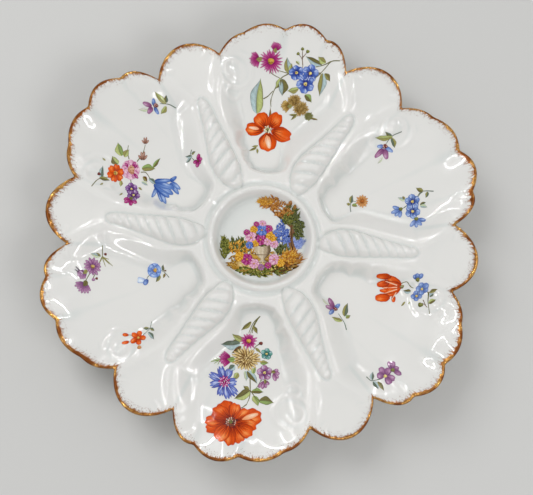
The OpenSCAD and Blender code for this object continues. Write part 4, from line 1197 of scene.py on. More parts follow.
# %% [markdown]
# The bottom bouquet.
# The largest one: a poppy seen from the front, a toothed cornflower, a cream chrysanthemum,
# small magenta and purple flowers, and leaves on both sides of one long stem.

# %% Bottom bouquet: leaves and stems
LOW_AT, LOW_SQUARE = (-7.0, -67.9), (0.482, 0.482)
greens = Spray(LOW_AT, LOW_SQUARE, 6)
stems(greens,
      [[(12.5, 56.5), (5, 49), (0, 38)], [(12, 56), (6, 48), (2, 38)], [(10.5, 54.5), (5, 44), (4, 38)],
       [(1, -9), (1, -24), (0, -32), (-3, -39)], [(-3, -39), (-7, -42), (-12, -44)],
       [(1, -24), (6, -31), (11, -36)], [(13, 27), (8, 24), (5, 20)], [(-19, 9), (-14, 5), (-10, 0)]])
leaves(greens,
       [((3, 50.5), (-8.5, 41), 4.5, OLIVE, DEEP_OLIVE), ((4.5, 46), (9.5, 37), 4, DEEP_OLIVE, OLIVE),
        ((-6, 30.5), (-18, 36.5), 6, YELLOW_GREEN, OLIVE),
        ((-8, 29.5), (-17, 30.5), 4, OLIVE, DEEP_OLIVE),
        ((-9, 27), (-30, 25), 10, BLUE_GREY, DARK_TEAL),
        ((-8, 24), (-18.5, 16), 5, DEEP_OLIVE, WOOD_BROWN),
        ((-15, 3), (-23, -2.5), 7, BLUE_GREY, DARK_TEAL),
        ((-11.5, -5), (-17, -12), 6, OLIVE, YELLOW_GREEN),
        ((-4, -3), (-3, -14), 5, BLUE_GREY, PALE_GREEN),
        ((-2, -3), (8.5, -17), 7.5, BLUE_GREY, DEEP_OLIVE),
        ((4, -6), (7, 1), 5, YELLOW_GREEN, FRESH_GREEN), ((12, 5.5), (21, 5.5), 5, OLIVE, FRESH_GREEN),
        ((1, -24), (-16, -33), 10, YELLOW_GREEN, DEEP_OLIVE),
        ((2.5, -25), (15, -26), 6, FRESH_GREEN, DEEP_OLIVE),
        ((10, -35), (25.5, -37.5), 9, DEEP_OLIVE, FRESH_GREEN),
        ((4, -30), (9, -41), 7, FRESH_GREEN, YELLOW_GREEN),
        ((0, -23), (-6, -19), 4.5, DEEP_OLIVE, OLIVE), ((7, 22), (13, 16), 3, OLIVE, OLIVE)])
strokes(greens,
        [((-31, 9), (-35, 11)), ((-32, 8.4), (-38, 9.4)), ((-33, 8), (-40.5, 6.5)),
         ((-32, 8), (-37, 4.6)), ((-31, 8), (-33, 3.6)), ((-30, 9), (-40, 7.2))], 0.9, FRESH_GREEN)
greens.dab((13, 27), (2.2, 1.9), CLARET, layer=1)
fire(greens, "bottom_leaves_and_stems", "bottom_bouquet")

# %% Bottom bouquet: poppy
FRONT_POPPY_EYE = (-19.5, -57.5)
poppy = Spray(LOW_AT, LOW_SQUARE, 7)
FRONT_POPPY = [((-17, -60), (-10, -79), 15), ((-20, -60), (-21, -82), 13), ((-22, -60), (-34, -76), 16),
               ((-23, -58), (-45, -66), 13), ((-23, -56), (-46, -57), 13), ((-20, -55), (-38, -44), 17),
               ((-20, -54), (-28, -36), 18), ((-18, -54), (-14, -38), 13), ((-15, -57), (0, -46), 13),
               ((-15, -57), (12, -50), 18), ((-14, -59), (7, -62), 14), ((-14, -60), (2, -71), 14)]
for k, (base, tip, width) in enumerate(FRONT_POPPY):
    poppy.petal(base, tip, width, POPPY_RED, root=0.3, full=0.8, dome=0.34, ruffle=0.035,
                glow=(0.7, 0.35 * (-1) ** k), streak=0.26, rows=14, columns=15, layer=2 + k % 3)
    for fan in (-0.24, -0.08, 0.06, 0.2):
        vein(poppy, base, tip, 0.05, 0.6, fan, 0.7, POPPY_CREASE)
poppy.petal((-8, -55), (9, -49), 5, tones((240, 150, 90), (248, 196, 156), (254, 228, 208)),
            root=0.1, layer=6)
heart(poppy, FRONT_POPPY_EYE, (5.6, 4.8), tones((84, 40, 34), (150, 76, 50), (196, 120, 80)),
      (7.2, 6.4), 46, 0.62, STAMEN_DARK, layer=6)
poppy.dots(FRONT_POPPY_EYE, (5.6, 4.8), 26, 0.50, (226, 206, 186), layer=8)
heart(poppy, FRONT_POPPY_EYE, (2.0, 1.8), OLIVE_MIX, (3.6, 3.2), 12, 0.5, STAMEN_DARK, layer=9)
fire(poppy, "bottom_poppy", "bottom_bouquet")

# %% Bottom bouquet: cornflower
CORN_EYE, CORN_FAN = (-26, -14.5), 0.12
corn = Spray(LOW_AT, LOW_SQUARE, 8)
CORN_TIPS = [(-41, -7), (-30.5, 0.5), (-20, -2), (-14, -15), (-14, -28), (-22, -32), (-31, -29),
             (-40, -18.5)]
star(corn, CORN_EYE, CORN_TIPS, 8.2, CORN_BLUE, root=0.10, dome=0.15, teeth=0.09)
for tip in CORN_TIPS:
    vein(corn, CORN_EYE, tip, 0.3, 0.9, CORN_FAN, 0.7, (44, 34, 120), taper=0.4)
    vein(corn, CORN_EYE, tip, 0.25, 0.8, -CORN_FAN, 0.8, (226, 230, 246), taper=0.3)
star(corn, CORN_EYE, round_tips(CORN_EYE, 6.5, 9, 20), 2.6, MAGENTA, layer=6)
corn.dots(CORN_EYE, (4.6, 4.6), 22, 0.5, (236, 214, 236), layer=8)
fire(corn, "bottom_cornflower", "bottom_bouquet")

# %% Bottom bouquet: chrysanthemum
cream = Spray(LOW_AT, LOW_SQUARE, 9)
shaggy(cream, (-2.5, 10), (16.0, 13.6),
       tones((150, 106, 46), (212, 186, 120), (246, 234, 196)), rays=22)
cream.stem([(-3, 8), (-1, 10.4), (2, 10), (2, 7), (-1, 5.6)], 0.9, WOOD_BROWN, layer=9)
fire(cream, "bottom_chrysanthemum", "bottom_bouquet")

# %% Bottom bouquet: small flowers
small = Spray(LOW_AT, LOW_SQUARE, 10)
aster(small, (0, 29.5), 9.2, 14, MAGENTA, OCHRE_EYE)
side_aster(small, (-19, 9.8), 180, 12, 105, 9, MAGENTA, calyx=FRESH_GREEN)
five_petals(small, (19, 15.5), 6.4, TEAL, turn=80, vein=(40, 90, 86))
five_petals(small, (16.5, -5), 8.4, MAUVE, turn=95, vein=(90, 40, 110))
star(small, (25.5, -5), [(31, -1.5), (32.5, -6), (31, -11), (28, -14)], 4.2, MAUVE)
star(small, (16.5, -13.5), [(9.5, -21), (13.5, -22.5), (17.5, -21.5), (21, -18)], 4.0, MAUVE)
leaves(small, [((23.5, -4), (28.5, -5), 3.6, DEEP_OLIVE, OLIVE),
               ((16.8, -12), (16.5, -17.5), 3.4, DEEP_OLIVE, OLIVE)], layer=4)
stems(small, [[(13, -9), (12, -14), (6, -24)], [(24, -4), (20, -8), (12, -14)]], 0.8, STEM_GREEN,
      layer=1)
fire(small, "bottom_small_flowers", "bottom_bouquet")

# %% [markdown]
# The upper left well.
# A pale rose with an orange star flower, purple flowers and a blue tulip, one sprig of two
# purple and two blue petals above it, and a single magenta bud by the shell.

# %% Upper left bouquet: leaves and stems
UP_LEFT_AT, UP_LEFT_SQUARE = (-69.2, 36.4), (0.416, 0.458)
greens = Spray(UP_LEFT_AT, UP_LEFT_SQUARE, 11)
stems(greens,
      [[(13, -2), (19, -2), (24, -8), (28, -13)], [(-46.5, -25), (-41, -17), (-35, -12.5), (-27, -11)],
       [(-35.5, -12), (-33, -8)], [(-2, 12), (-4, 20), (-3, 28)], [(8, 10), (15, 20), (18, 30)],
       [(0, -10), (1, -16), (1.5, -22)]])
leaves(greens,
       [((-11, 15), (-16, 30), 10, YELLOW_GREEN, FRESH_GREEN),
        ((-8, 14), (-2, 23), 7, OLIVE, YELLOW_GREEN),
        ((-15.5, 5), (-23, 14), 9, DEEP_OLIVE, YELLOW_GREEN),
        ((14, 2.5), (31, 3), 8.5, FRESH_GREEN, OLIVE),
        ((28, 4), (37.5, 16), 4.5, FRESH_GREEN, DEEP_OLIVE),
        ((-36, -13), (-34, 2), 6, BLUE_GREY, DARK_TEAL), ((-38, -13), (-25, -15), 5, OLIVE, DEEP_OLIVE),
        ((-12, -13), (-12, -21), 4.5, OLIVE, YELLOW_GREEN),
        ((15.5, -7), (21, -13), 5, WOOD_BROWN, OLIVE), ((14, -13), (22, -17), 4, PALE_GREEN, BLUE_GREY),
        ((-31, 8), (-35, 11), 2, OLIVE, OLIVE), ((-33, -19), (-37, -22), 2, OLIVE, OLIVE),
        ((-9, -29), (-13, -33), 2, OLIVE, OLIVE), ((10, -20), (15, -23), 2.4, OLIVE, OLIVE)])
greens.dab((-38.5, -8), (2.2, 2.0), CLARET, layer=1)
BUD_FAN = ((-0.8, 0.2), (-0.3, 0.8), (0.3, 0.9), (0.8, 0.3))
for (x, y), size in (((18, 34), 5.5), ((15, 16), 7)):
    star(greens, (x, y - size * 0.6), [(x + dx * size, y + dy * size) for dx, dy in BUD_FAN],
         size * 0.42, tones((96, 60, 46), (176, 130, 112), (214, 184, 170)))
fire(greens, "upper_left_leaves_and_stems", "upper_left_bouquet")

# %% Upper left bouquet: rose
ROSE_RINGS = ((11.5, 8), (8.4, 6), (5.6, 5))
rose = Spray(UP_LEFT_AT, UP_LEFT_SQUARE, 12)
for ring, (far, count) in enumerate(ROSE_RINGS):
    for k in range(count):
        a = 360 * k / count + 22 * ring
        rose.petal(ahead((0, 0), a, far * 0.2), ahead((0, 0), a, far), 9.4 - 1.8 * ring, ROSE_PINK,
                   dome=0.35, glow=(0.85, 0.2), layer=2 + ring)
for x, y in ((5, 8), (7, 5), (8, -8), (-6, 6)):
    rose.petal((x * 0.5, y * 0.5), (x * 1.2, y * 1.2), 3.6, MAGENTA, layer=6)
heart(rose, (1, 0), (4.2, 5.4), tones((150, 80, 60), (206, 150, 120), (240, 214, 180)),
      (3.6, 5.0), 22, 0.5, (150, 90, 50), layer=6)
fire(rose, "upper_left_rose", "upper_left_bouquet")

# %% Upper left bouquet: bright flowers
ORANGE_STAR = (-18.5, -5.5)
VIOLET_VEIN, VIOLET_GLEAM = (60, 20, 90), (210, 190, 222)
bright = Spray(UP_LEFT_AT, UP_LEFT_SQUARE, 13)
star(bright, ORANGE_STAR, round_tips(ORANGE_STAR, 11, 6, 78), 7.8, POPPY_RED, dome=0.35, notch=0.12)
heart(bright, ORANGE_STAR, (2.6, 2.4), OCHRE_EYE, (2.6, 2.4), 9, 0.5, STAMEN_DARK)
for place, radius, turn in (((1.5, -22.5), 7.8, 100), ((4.5, -30.5), 8.2, 64)):
    five_petals(bright, place, radius, VIOLET, turn=turn, vein=VIOLET_VEIN, gleam=VIOLET_GLEAM)
star(bright, (2, -36), [(-7, -38), (-6, -42.5), (2, -46), (9, -42.5)], 5.4, MAGENTA)
bright.leaf((0.5, -33.5), (3, -38.5), 4.4, DEEP_OLIVE, layer=5)
BLUE_TULIP = [((34, -18), (27, -31), 5, 0), ((35, -21), (40, -36), 5.5, 1),
              ((37, -22), (45, -38), 6, 2), ((30, -15), (49, -30), 8.5, 2),
              ((30, -14), (54, -26), 8.5, 3), ((30, -13), (55, -19), 8, 4),
              ((50, -13), (61, -26), 6, 3), ((52, -12), (63, -20), 5.5, 5),
              ((30, -12), (52, -9.5), 6, 5), ((50, -11), (58, -5), 5, 6)]
for base, tip, width, over in BLUE_TULIP:
    bright.petal(base, tip, width, TULIP_BLUE, root=0.35, full=0.55, dome=0.7, glow=(0.6, 0.25),
                 streak=0.38, columns=11, layer=2 + over)
bright.leaf((23, -9), (32, -15.5), 5, DARK_TEAL, BLUE_GREY, layer=7)
fire(bright, "upper_left_bright_flowers", "upper_left_bouquet")


# %% Upper left sprig, one of three alike
def small_sprig(spray, route, width, leaf_rows, pairs, husk, eye, spread, count, grain):
    stems(spray, [route], width, DARK_TEAL)
    leaves(spray, leaf_rows)
    for middle, tips, petal_w, palette in pairs:
        star(spray, middle, tips, petal_w, palette, dome=0.6)
    spray.leaf(*husk, PALE_GREEN, HUSK_CREAM, layer=1)
    heart(spray, *eye, CLARET, spread, count, grain, STAMEN_PALE)


sprig = Spray((-58.1, 70.5), (0.429, 0.411), 14)
small_sprig(sprig, [(29, -1.5), (20, 3), (9, 4)], 1.3,
            [((17, 4), (2.5, 18), 6.4, OLIVE, YELLOW_GREEN),
             ((17.5, 5), (17, 14), 4.8, DEEP_OLIVE, DARK_TEAL),
             ((17, 1), (10, -9), 6, OLIVE, YELLOW_GREEN)],
            [((0, 0), [(-12, 3.8), (-5.5, -9.5)], 6.0, MAUVE),
             ((2, 0), [(1, 10), (7.5, -9.5)], 4.8, FORGET_BLUE)],
            husk=((-4, -3.5), (-17.5, -5.5), 4.4), eye=((4, 1.5), (3.2, 2.8)), spread=(2.6, 2.4),
            count=7, grain=0.5)
fire(sprig, "upper_left_small_sprig", "upper_left_sprig")

# %% Upper left bud
bud = Spray((-34.2, 41.4), (0.43, 0.425), 15)
stems(bud, [[(-7, 15), (-8.5, 8), (-5, 3)], [(-5, 3), (-3, 1), (0, 0)]], 1.1, DARK_TEAL)
leaves(bud, [((-6, 7), (-15, 8), 3.8, BLUE_GREY, DARK_TEAL), ((-7, 9), (-2, 12), 3.5, DARK_TEAL, OLIVE),
             ((-8, 6), (-14, 0), 3.8, DARK_TEAL, BLUE_GREY)])
star(bud, (1, 0), [(2, 8.5), (6, 2.5), (-5, -1), (0, -7.5), (4, -4)], 4.8, MAGENTA, dome=0.5)
bud.dab((1, 0), (1.3, 1.3), CLARET, layer=5)
fire(bud, "upper_left_magenta_bud", "upper_left_bud")

# %% [markdown]
# The lower left well.
# Lilac asters, a pale blue bell flower, and an orange flower with two berries.

# %% Lower left asters
lilacs = Spray((-87.2, -16.4), (0.396, 0.430), 16)
stems(lilacs, [[(11.5, 26), (11.5, 13), (8.5, 5)], [(-3.5, -9), (-7.5, -17), (-8.5, -21)],
               [(1, -14), (3, -10), (4, -8)]])
leaves(lilacs,
       [((10, 13), (-4, 16), 5, PALE_GREEN, BLUE_GREY), ((9.5, 13.5), (4, 17.5), 3, DEEP_OLIVE, OLIVE)])
strokes(lilacs, [((12, 13), (25, 2)), ((12, 12), (21, 4)), ((12, 11), (16, 1)), ((11, 12), (8, 5)),
                 ((13, 12), (20, 10))], 1.2, OLIVE)
aster(lilacs, (0, 0), 11.0, 13, LILAC, TAN_CREAM, eye_share=0.24, plump=4.6, dome=0.5)
side_aster(lilacs, (-9.5, -7), 225, 10.5, 110, 7, LILAC, calyx=OLIVE)
side_aster(lilacs, (-9, -21.5), 245, 13, 150, 8, LILAC, calyx=DEEP_OLIVE)
strokes(lilacs, [((-16, -6), (-21, -1.5)), ((-17, -8), (-22, -5))], 1.6, (60, 40, 70), layer=5)
lilacs.dab((1.5, -16), (2.2, 2.0), LILAC)
lilacs.dab((5.5, -14.5), (1.7, 1.6), CLARET)
lilacs.dab((15.5, 16), (1.8, 1.6), CLARET)
fire(lilacs, "lower_left_lilac_asters", "lower_left_asters")

# %% Lower left bells
bells = Spray((-56.0, -17.0), (0.414, 0.435), 17)
stems(bells, [[(18.5, -8), (13, -2), (7, 1)], [(-4.5, -5), (-8, -8), (-9, -12)]], 1.0, DARK_TEAL)
leaves(bells,
       [((11, 0), (11, 7.5), 3.6, DARK_TEAL, DEEP_OLIVE), ((7, -5), (2, -14), 4.8, OLIVE, DARK_TEAL),
        ((13, -3), (11, -9), 3, WOOD_BROWN, OLIVE), ((12, 0), (15.5, 0), 2, WOOD_BROWN, WOOD_BROWN)])
star(bells, (0, 0), round_tips((0, 0), 8.6, 6, 85), 9.6, PALE_BLUE, root=0.4, dome=0.3)
star(bells, (0, 0), round_tips((0, 0), 5.0, 5, 60), 5.4, FORGET_BLUE, dome=0.4, layer=4)
bells.dab((1, 0.4), (2.2, 2.6), OCHRE_EYE, layer=7)
bells.petal((-10, -13), (-21, -12), 7.4, tones((110, 140, 200), (214, 228, 246), (240, 246, 252)),
            root=0.3, dome=0.2, notch=0.1)
bells.petal((-8, -11), (-12.5, -18), 5.6, FORGET_BLUE, root=0.5, dome=0.4, layer=4)
fire(bells, "lower_left_blue_bells", "lower_left_bells")

# %% Lower left orange flower
berries = Spray((-63.3, -53.0), (0.407, 0.445), 18)
stems(berries, [[(16, 20), (14, 12), (9, 6)], [(9, 6), (5, 3), (2, 1)], [(-4, 1), (-9, 3), (-12, 3)],
                [(-4, -2), (-8, -5), (-11, -5)]], 0.9, DARK_TEAL)
leaves(berries, [((13, 12), (5, 12), 3.5, DARK_TEAL, OLIVE), ((14, 12), (20, 8), 3.5, DARK_TEAL, OLIVE),
                 ((12, 7), (20, -3), 5, DARK_TEAL, BLUE_GREY)])
star(berries, (0, 0), [(2, 8.5), (9.5, 0), (1.5, -9), (-9, -6), (-8, 5)], 6.4, POPPY_RED, dome=0.4)
berries.petal((-12, 3), (-19.5, 3.2), 4.0, POPPY_RED)
berries.petal((-11, -5), (-20, -7), 4.2, POPPY_RED)
berries.dab((2, -12), (2.7, 2.4), AMBER)
berries.dab((0, 0), (1.6, 1.5), OCHRE_EYE, layer=5)
fire(berries, "lower_left_orange_flower", "lower_left_berries")

# %% [markdown]
# The lower right well.
# A sprig like the one at the upper left, a flame-red tulip with two blue flowers, and pinks.

# %% Lower right sprig
sprig = Spray((37.6, -37.0), (0.493, 0.483), 19)
small_sprig(sprig, [(12, -23), (10, -15), (4, -5)], 1.1,
            [((10.5, -8), (14.5, 7), 5.8, OLIVE, DARK_TEAL),
             ((12, -10), (17, -7), 4, FRESH_GREEN, OLIVE),
             ((8, -13), (-4, -9.5), 5, YELLOW_GREEN, OLIVE)],
            [((0, 0), [(-5.5, 12.5), (-10, 2.4)], 5.6, MAUVE),
             ((0, 0), [(6, 6), (-6.5, -7)], 4.4, FORGET_BLUE)],
            husk=((-6, 4), (-13, 12), 3.0), eye=((1, 0), (2.4, 2.2)), spread=(2.0, 1.8), count=6,
            grain=0.4)
fire(sprig, "lower_right_small_sprig", "lower_right_sprig")

# %% Lower right tulip
tulip = Spray((75.1, -30.9), (0.243, 0.243), 20)
stems(tulip,
      [[(-15, 26), (-6, 29), (0, 29), (5, 22)], [(5, 22), (9, 18), (13, 16)],
       [(44, 6), (42, -10), (42, -20), (43.5, -43)], [(38, 8), (42, 4), (42, -2)]], 2.2, STEM_GREEN)
stems(tulip, [[(32, -10), (35, -18), (38, -26)], [(29, -17), (34, -20), (40, -27)]], 1.6, WOOD_BROWN)
leaves(tulip,
       [((8, 10), (-8, 12), 10, BLUE_GREY, DEEP_OLIVE), ((45, 4), (61, 10), 7.4, DEEP_OLIVE, OLIVE),
        ((45, -4), (54, 2), 7.4, BLUE_GREY, DARK_TEAL),
        ((43, -18), (58, -11), 9.4, YELLOW_GREEN, DEEP_OLIVE), ((-5, -12), (-14, -22), 4, OLIVE, OLIVE),
        ((5, -13), (1, -18), 3.4, PALE_GREEN, OLIVE)])
FLAME_TULIP = [((-33, 41), (-65, 45), 11), ((-36, 30), (-63, 27), 15), ((-27, 19), (-52, 23), 10),
               ((-26, 10), (-58, 15), 10), ((-36, -1), (-68, -2), 19), ((-28, 2), (-29, -13), 9)]
FLAME_BODY = [((-12, 24), (-42, 42), 15), ((-12, 22), (-46, 29), 16), ((-12, 19), (-44, 14), 15),
              ((-14, 17), (-44, 2), 14)]
for k, (base, tip, width) in enumerate(FLAME_BODY + FLAME_TULIP):
    tulip.petal(base, tip, width, POPPY_RED, root=0.3, full=0.6, dome=0.55, notch=0.05,
                glow=(0.7, 0.3 * (-1) ** k), streak=0.2, layer=2 + k % 3)
strokes(tulip, [((-20, 24), (-48, 35)), ((-20, 20), (-50, 20)), ((-20, 16), (-46, 8)),
                ((-22, 9), (-32, -6))], 2.4, (246, 200, 168), layer=5)
tulip.leaf((-6, 22), (-16, 20), 7, DEEP_OLIVE, OLIVE, layer=6)
star(tulip, (20, 33), [(12, 42), (19, 45), (31, 43)], 9.0, FORGET_BLUE)
tulip.dab((20.5, 32), (4.2, 4.6), OLIVE_MIX, layer=5)
star(tulip, (29.5, 12.5), [(27, 26), (42, 22), (42, 9), (28, 0), (17, 14)], 12, FORGET_BLUE, dome=0.45)
star(tulip, (19, -1), [(7, -2), (16, 10), (17, -12), (30, -3)], 10, FORGET_BLUE, dome=0.45)
for middle in ((29.5, 12.5), (19, -1)):
    heart(tulip, middle, (2.8, 2.6), LEMON_EYE, (2.6, 2.4), 5, 0.7, WOOD_BROWN)
tulip.dab((26, -20.5), (5.5, 5.0), OLIVE_MIX)
fire(tulip, "lower_right_flame_tulip", "lower_right_tulip")

# %% Lower right pinks
pinks = Spray((61.7, -72.8), (0.451, 0.463), 21)
stems(pinks, [[(-21, -0.5), (-16, -5), (-9, -4)], [(-9, -4), (-5, -3), (-2, -1)],
              [(3, 3), (6, 5), (8, 6)]], 1.2, DARK_TEAL)
leaves(pinks,
       [((-15, -4.5), (-13, 5.5), 4.8, BLUE_GREY, DARK_TEAL),
        ((-14, -6), (-9, -15), 5.8, BLUE_GREY, DARK_TEAL),
        ((-9, -6), (-3, -17), 4.4, DEEP_OLIVE, OLIVE)])
star(pinks, (0, 0), [(-5, 10.5), (5.5, 9), (10.5, -4), (5, -9.5), (-9.5, 1)], 7.4, LILAC,
     dome=0.4, notch=0.06)
heart(pinks, (0, 0), (2.0, 1.8), LEMON_EYE, (1.9, 1.7), 5, 0.4, WOOD_BROWN)
star(pinks, (8, 7), [(4.5, 16.5), (10, 16.5), (15.5, 9), (17.5, 1)], 5.6, LILAC, dome=0.45)
pinks.dab((8.5, 6.5), (2.4, 2.2), OLIVE_MIX, layer=5)
fire(pinks, "lower_right_lilac_pinks", "lower_right_pinks")

# %% [markdown]
# The upper right well.
# A sprig of two purple and two blue petals, an amber daisy, and two forget-me-nots.

# %% Upper right sprig
sprig = Spray((65.6, 50.2), (0.447, 0.432), 22)
small_sprig(sprig, [(20.5, 17), (9, 12), (2, 3)], 1.2,
            [((10, 11), (-11.5, 10), 6.4, OLIVE, YELLOW_GREEN),
             ((9, 12), (0.5, 17), 4.2, DEEP_OLIVE, DARK_TEAL),
             ((9, 10), (12, -3), 5.8, OLIVE, DARK_TEAL)],
            [((0, 0), [(-8.5, 0.5), (10, -7.5)], 5.0, FORGET_BLUE),
             ((0, -2), [(-11, -13), (3, -16)], 6.6, MAUVE)],
            husk=((-2, -13), (-8, -21), 3.0), eye=((1, 0), (3.0, 2.8)), spread=(2.6, 2.4), count=7,
            grain=0.45)
fire(sprig, "upper_right_small_sprig", "upper_right_sprig")

# %% Upper right daisy
daisy = Spray((53.7, 21.2), (0.454, 0.459), 23)
stems(daisy, [[(-13.5, -12.5), (-14, -5), (-12, 0), (-7, 0)]], 1.0, DARK_TEAL)
leaves(daisy,
       [((-13, -2), (-11, 8), 5, OLIVE, DARK_TEAL), ((-12, -4), (-5.5, -6), 4.5, FRESH_GREEN, OLIVE),
        ((-14, -3), (-18.5, -2.5), 3.5, OLIVE, OLIVE)])
aster(daisy, (0, 0), 7.4, 13, AMBER, tones((110, 52, 16), (176, 92, 30), (220, 150, 80)),
      plump=4.2, dome=0.5)
fire(daisy, "upper_right_amber_daisy", "upper_right_daisy")

# %% Upper right forget-me-nots
blues = Spray((79.7, 19.6), (0.434, 0.458), 24)
stems(blues,
      [[(25, 11), (16, 12), (10, 11), (5, 5)], [(12, 11), (9, 9), (7, 6)],
       [(-10, -6), (-7, -4), (-5, -2)], [(3, -17), (4, -20)], [(-14, -8), (-12, -7), (-10, -6)]], 1.1,
      DARK_TEAL)
leaves(blues,
       [((13, 12), (4.5, 16.5), 5, DEEP_OLIVE, OLIVE), ((18, 11), (15.5, 4), 4, DARK_TEAL, OLIVE),
        ((-7, 3), (-17, 6.5), 4.5, PALE_GREEN, BLUE_GREY), ((-9, 4), (-11, 8), 3, DEEP_OLIVE, OLIVE),
        ((9, -4), (16, -1), 3.5, DEEP_OLIVE, DARK_TEAL),
        ((9, -5), (17.5, -7), 4.5, PALE_GREEN, BLUE_GREY)])
five_petals(blues, (0, 0.5), 9.0, FORGET_BLUE, turn=96)
five_petals(blues, (0, -11), 9.0, FORGET_BLUE, turn=62)
star(blues, (-14, -8), [(-23.5, -4), (-25.5, -11.5), (-21, -15.5), (-15.5, -17.5)], 4.6, FORGET_BLUE,
     dome=0.5)
star(blues, (4, -20.5), [(15, -22.5), (9.5, -28.5), (3, -31), (-4, -29.5)], 5.0, FORGET_BLUE, dome=0.5)
blues.dab((-14, -7.5), (2.4, 2.2), OLIVE_MIX, layer=5)
blues.dab((4, -20), (2.6, 2.2), OLIVE_MIX, layer=5)
fire(blues, "upper_right_blue_flowers", "upper_right_forget_me_nots")

# %% [markdown]
# The picture in the sauce well.
# A small garden scene fills the well: a grassy bank, an urn of flowers, delphiniums, an autumn
# tree and far blue hills. It is this lesson's own plain composition. Painted by hand it is
# nothing but small touches, so it is built the same way: each mass is a soft underpainting and
# then a seeded shower of short strokes inside it, from dark to light. Here the sheet of squares
# runs from -1 to 1 both ways, so every place and size is a share of half the picture.

# %% Colours of the garden, and showers of strokes
WELL_AT, WELL_SQUARE = (0, 0.9), (23.0, 22.6)
GRASS_OCHRE = tones((116, 70, 20), (200, 152, 44), (236, 212, 130))
GRASS_GREEN = tones((56, 64, 22), (120, 122, 44), (186, 186, 96))
AUTUMN = tones((122, 62, 16), (204, 132, 48), (240, 192, 112))
TREE_GREEN = tones((44, 52, 26), (92, 100, 48), (156, 160, 96))
STONE = tones((112, 92, 70), (196, 178, 148), (240, 232, 212))
HILL_BLUE = tones((96, 116, 186), (144, 160, 212), (206, 216, 240))
SUN_GOLD = tones((160, 92, 16), (226, 166, 40), (250, 222, 120))
EARTH_SHADE = tones((50, 34, 16), (92, 64, 26), (150, 112, 56))
PATH_SAND = tones((190, 150, 80), (230, 208, 150), (250, 242, 212))
picture = Spray(WELL_AT, WELL_SQUARE, 30)


def shower(middle, spread, count, length, width, palette, facing, fan=40, layer=2):
    for _ in range(count):
        a, r = picture.random.uniform(0, 2 * math.pi), math.sqrt(picture.random.random())
        base = (middle[0] + spread[0] * r * math.cos(a), middle[1] + spread[1] * r * math.sin(a))
        turn = facing + picture.random.uniform(-fan, fan)
        far = length * picture.random.uniform(0.6, 1.2)
        picture.petal(base, ahead(base, turn, far), width, palette, root=0.5, dome=0.7,
                      rows=4, columns=3, layer=layer)


# %% Hills, bushes and the grassy bank
picture.dab((0.70, -0.12), (0.24, 0.16), HILL_BLUE, sides=18, glow=0.2, layer=0)
shower((0.68, -0.12), (0.24, 0.14), 70, 0.13, 0.045, HILL_BLUE, 5, 16, layer=1)
picture.dab((-0.55, -0.22), (0.34, 0.15), TREE_GREEN, sides=18, layer=1)
shower((-0.55, -0.20), (0.36, 0.17), 120, 0.10, 0.035, TREE_GREEN, 80, 60)
shower((-0.50, -0.28), (0.34, 0.16), 70, 0.11, 0.03, SUN_GOLD, 70, 60, layer=3)
picture.dab((-0.02, -0.62), (0.66, 0.22), GRASS_OCHRE, sides=24, glow=0.3, layer=1)
shower((-0.06, -0.60), (0.78, 0.27), 420, 0.14, 0.030, GRASS_OCHRE, -8, 40)
shower((-0.05, -0.78), (0.58, 0.13), 150, 0.12, 0.04, GRASS_GREEN, -5, 35, layer=3)
shower((0.40, -0.68), (0.34, 0.16), 110, 0.12, 0.035, EARTH_SHADE, 25, 40, layer=3)
shower((-0.20, -0.62), (0.45, 0.06), 70, 0.14, 0.035, PATH_SAND, -8, 14, layer=4)

# %% Tree and shrubs
trunk = [(0.78, -0.52), (0.72, -0.30), (0.66, -0.05), (0.70, 0.18), (0.66, 0.38), (0.50, 0.60)]
picture.stem(trunk, 0.15, (126, 92, 62), taper=0.35, layer=4)
picture.stem([(0.69, 0.05), (0.82, 0.20), (0.88, 0.30)], 0.06, (112, 76, 48), layer=4)
picture.stem([(0.69, 0.26), (0.52, 0.40), (0.34, 0.56), (0.20, 0.70)], 0.06, (120, 82, 50), layer=4)
strokes(picture,
        [((0.76, -0.46), (0.70, -0.2)), ((0.70, -0.3), (0.66, 0.0)), ((0.68, -0.02), (0.69, 0.3))],
        0.022, (70, 44, 26), layer=5)
shower((0.84, 0.22), (0.10, 0.22), 90, 0.10, 0.05, TREE_GREEN, 290, 70, layer=5)
shower((0.62, 0.52), (0.22, 0.20), 150, 0.10, 0.05, TREE_GREEN, 30, 90, layer=5)
shower((0.50, 0.66), (0.25, 0.17), 130, 0.09, 0.035, AUTUMN, 120, 90, layer=6)
shower((0.22, 0.84), (0.24, 0.11), 120, 0.10, 0.035, AUTUMN, 170, 50, layer=6)
shower((0.12, 0.88), (0.20, 0.07), 70, 0.09, 0.03, SUN_GOLD, 175, 40, layer=7)
shower((0.66, 0.48), (0.16, 0.14), 40, 0.08, 0.03, GRASS_GREEN, 60, 90, layer=7)
shower((-0.86, -0.28), (0.09, 0.24), 110, 0.12, 0.035, GRASS_GREEN, 85, 40, layer=5)
shower((0.66, -0.52), (0.22, 0.18), 130, 0.15, 0.03, AUTUMN, 50, 60, layer=5)
shower((0.60, -0.50), (0.20, 0.14), 50, 0.12, 0.03, SUN_GOLD, 60, 60, layer=6)

# %% Delphiniums beside the urn
SPIRES = [(0.36, 0.06, 0.22), (0.47, 0.14, 0.28), (0.57, 0.02, 0.18)]
for spire_x, spire_y, tall in SPIRES:
    picture.stem([(spire_x, spire_y - 0.5), (spire_x, spire_y)], 0.03, DEEP_OLIVE, layer=4)
    shower((spire_x, spire_y), (0.06, tall), 46, 0.07, 0.05, SKY_BLUE, 90, 70, layer=5)
shower((0.46, -0.30), (0.16, 0.12), 60, 0.12, 0.035, TREE_GREEN, 90, 50, layer=5)

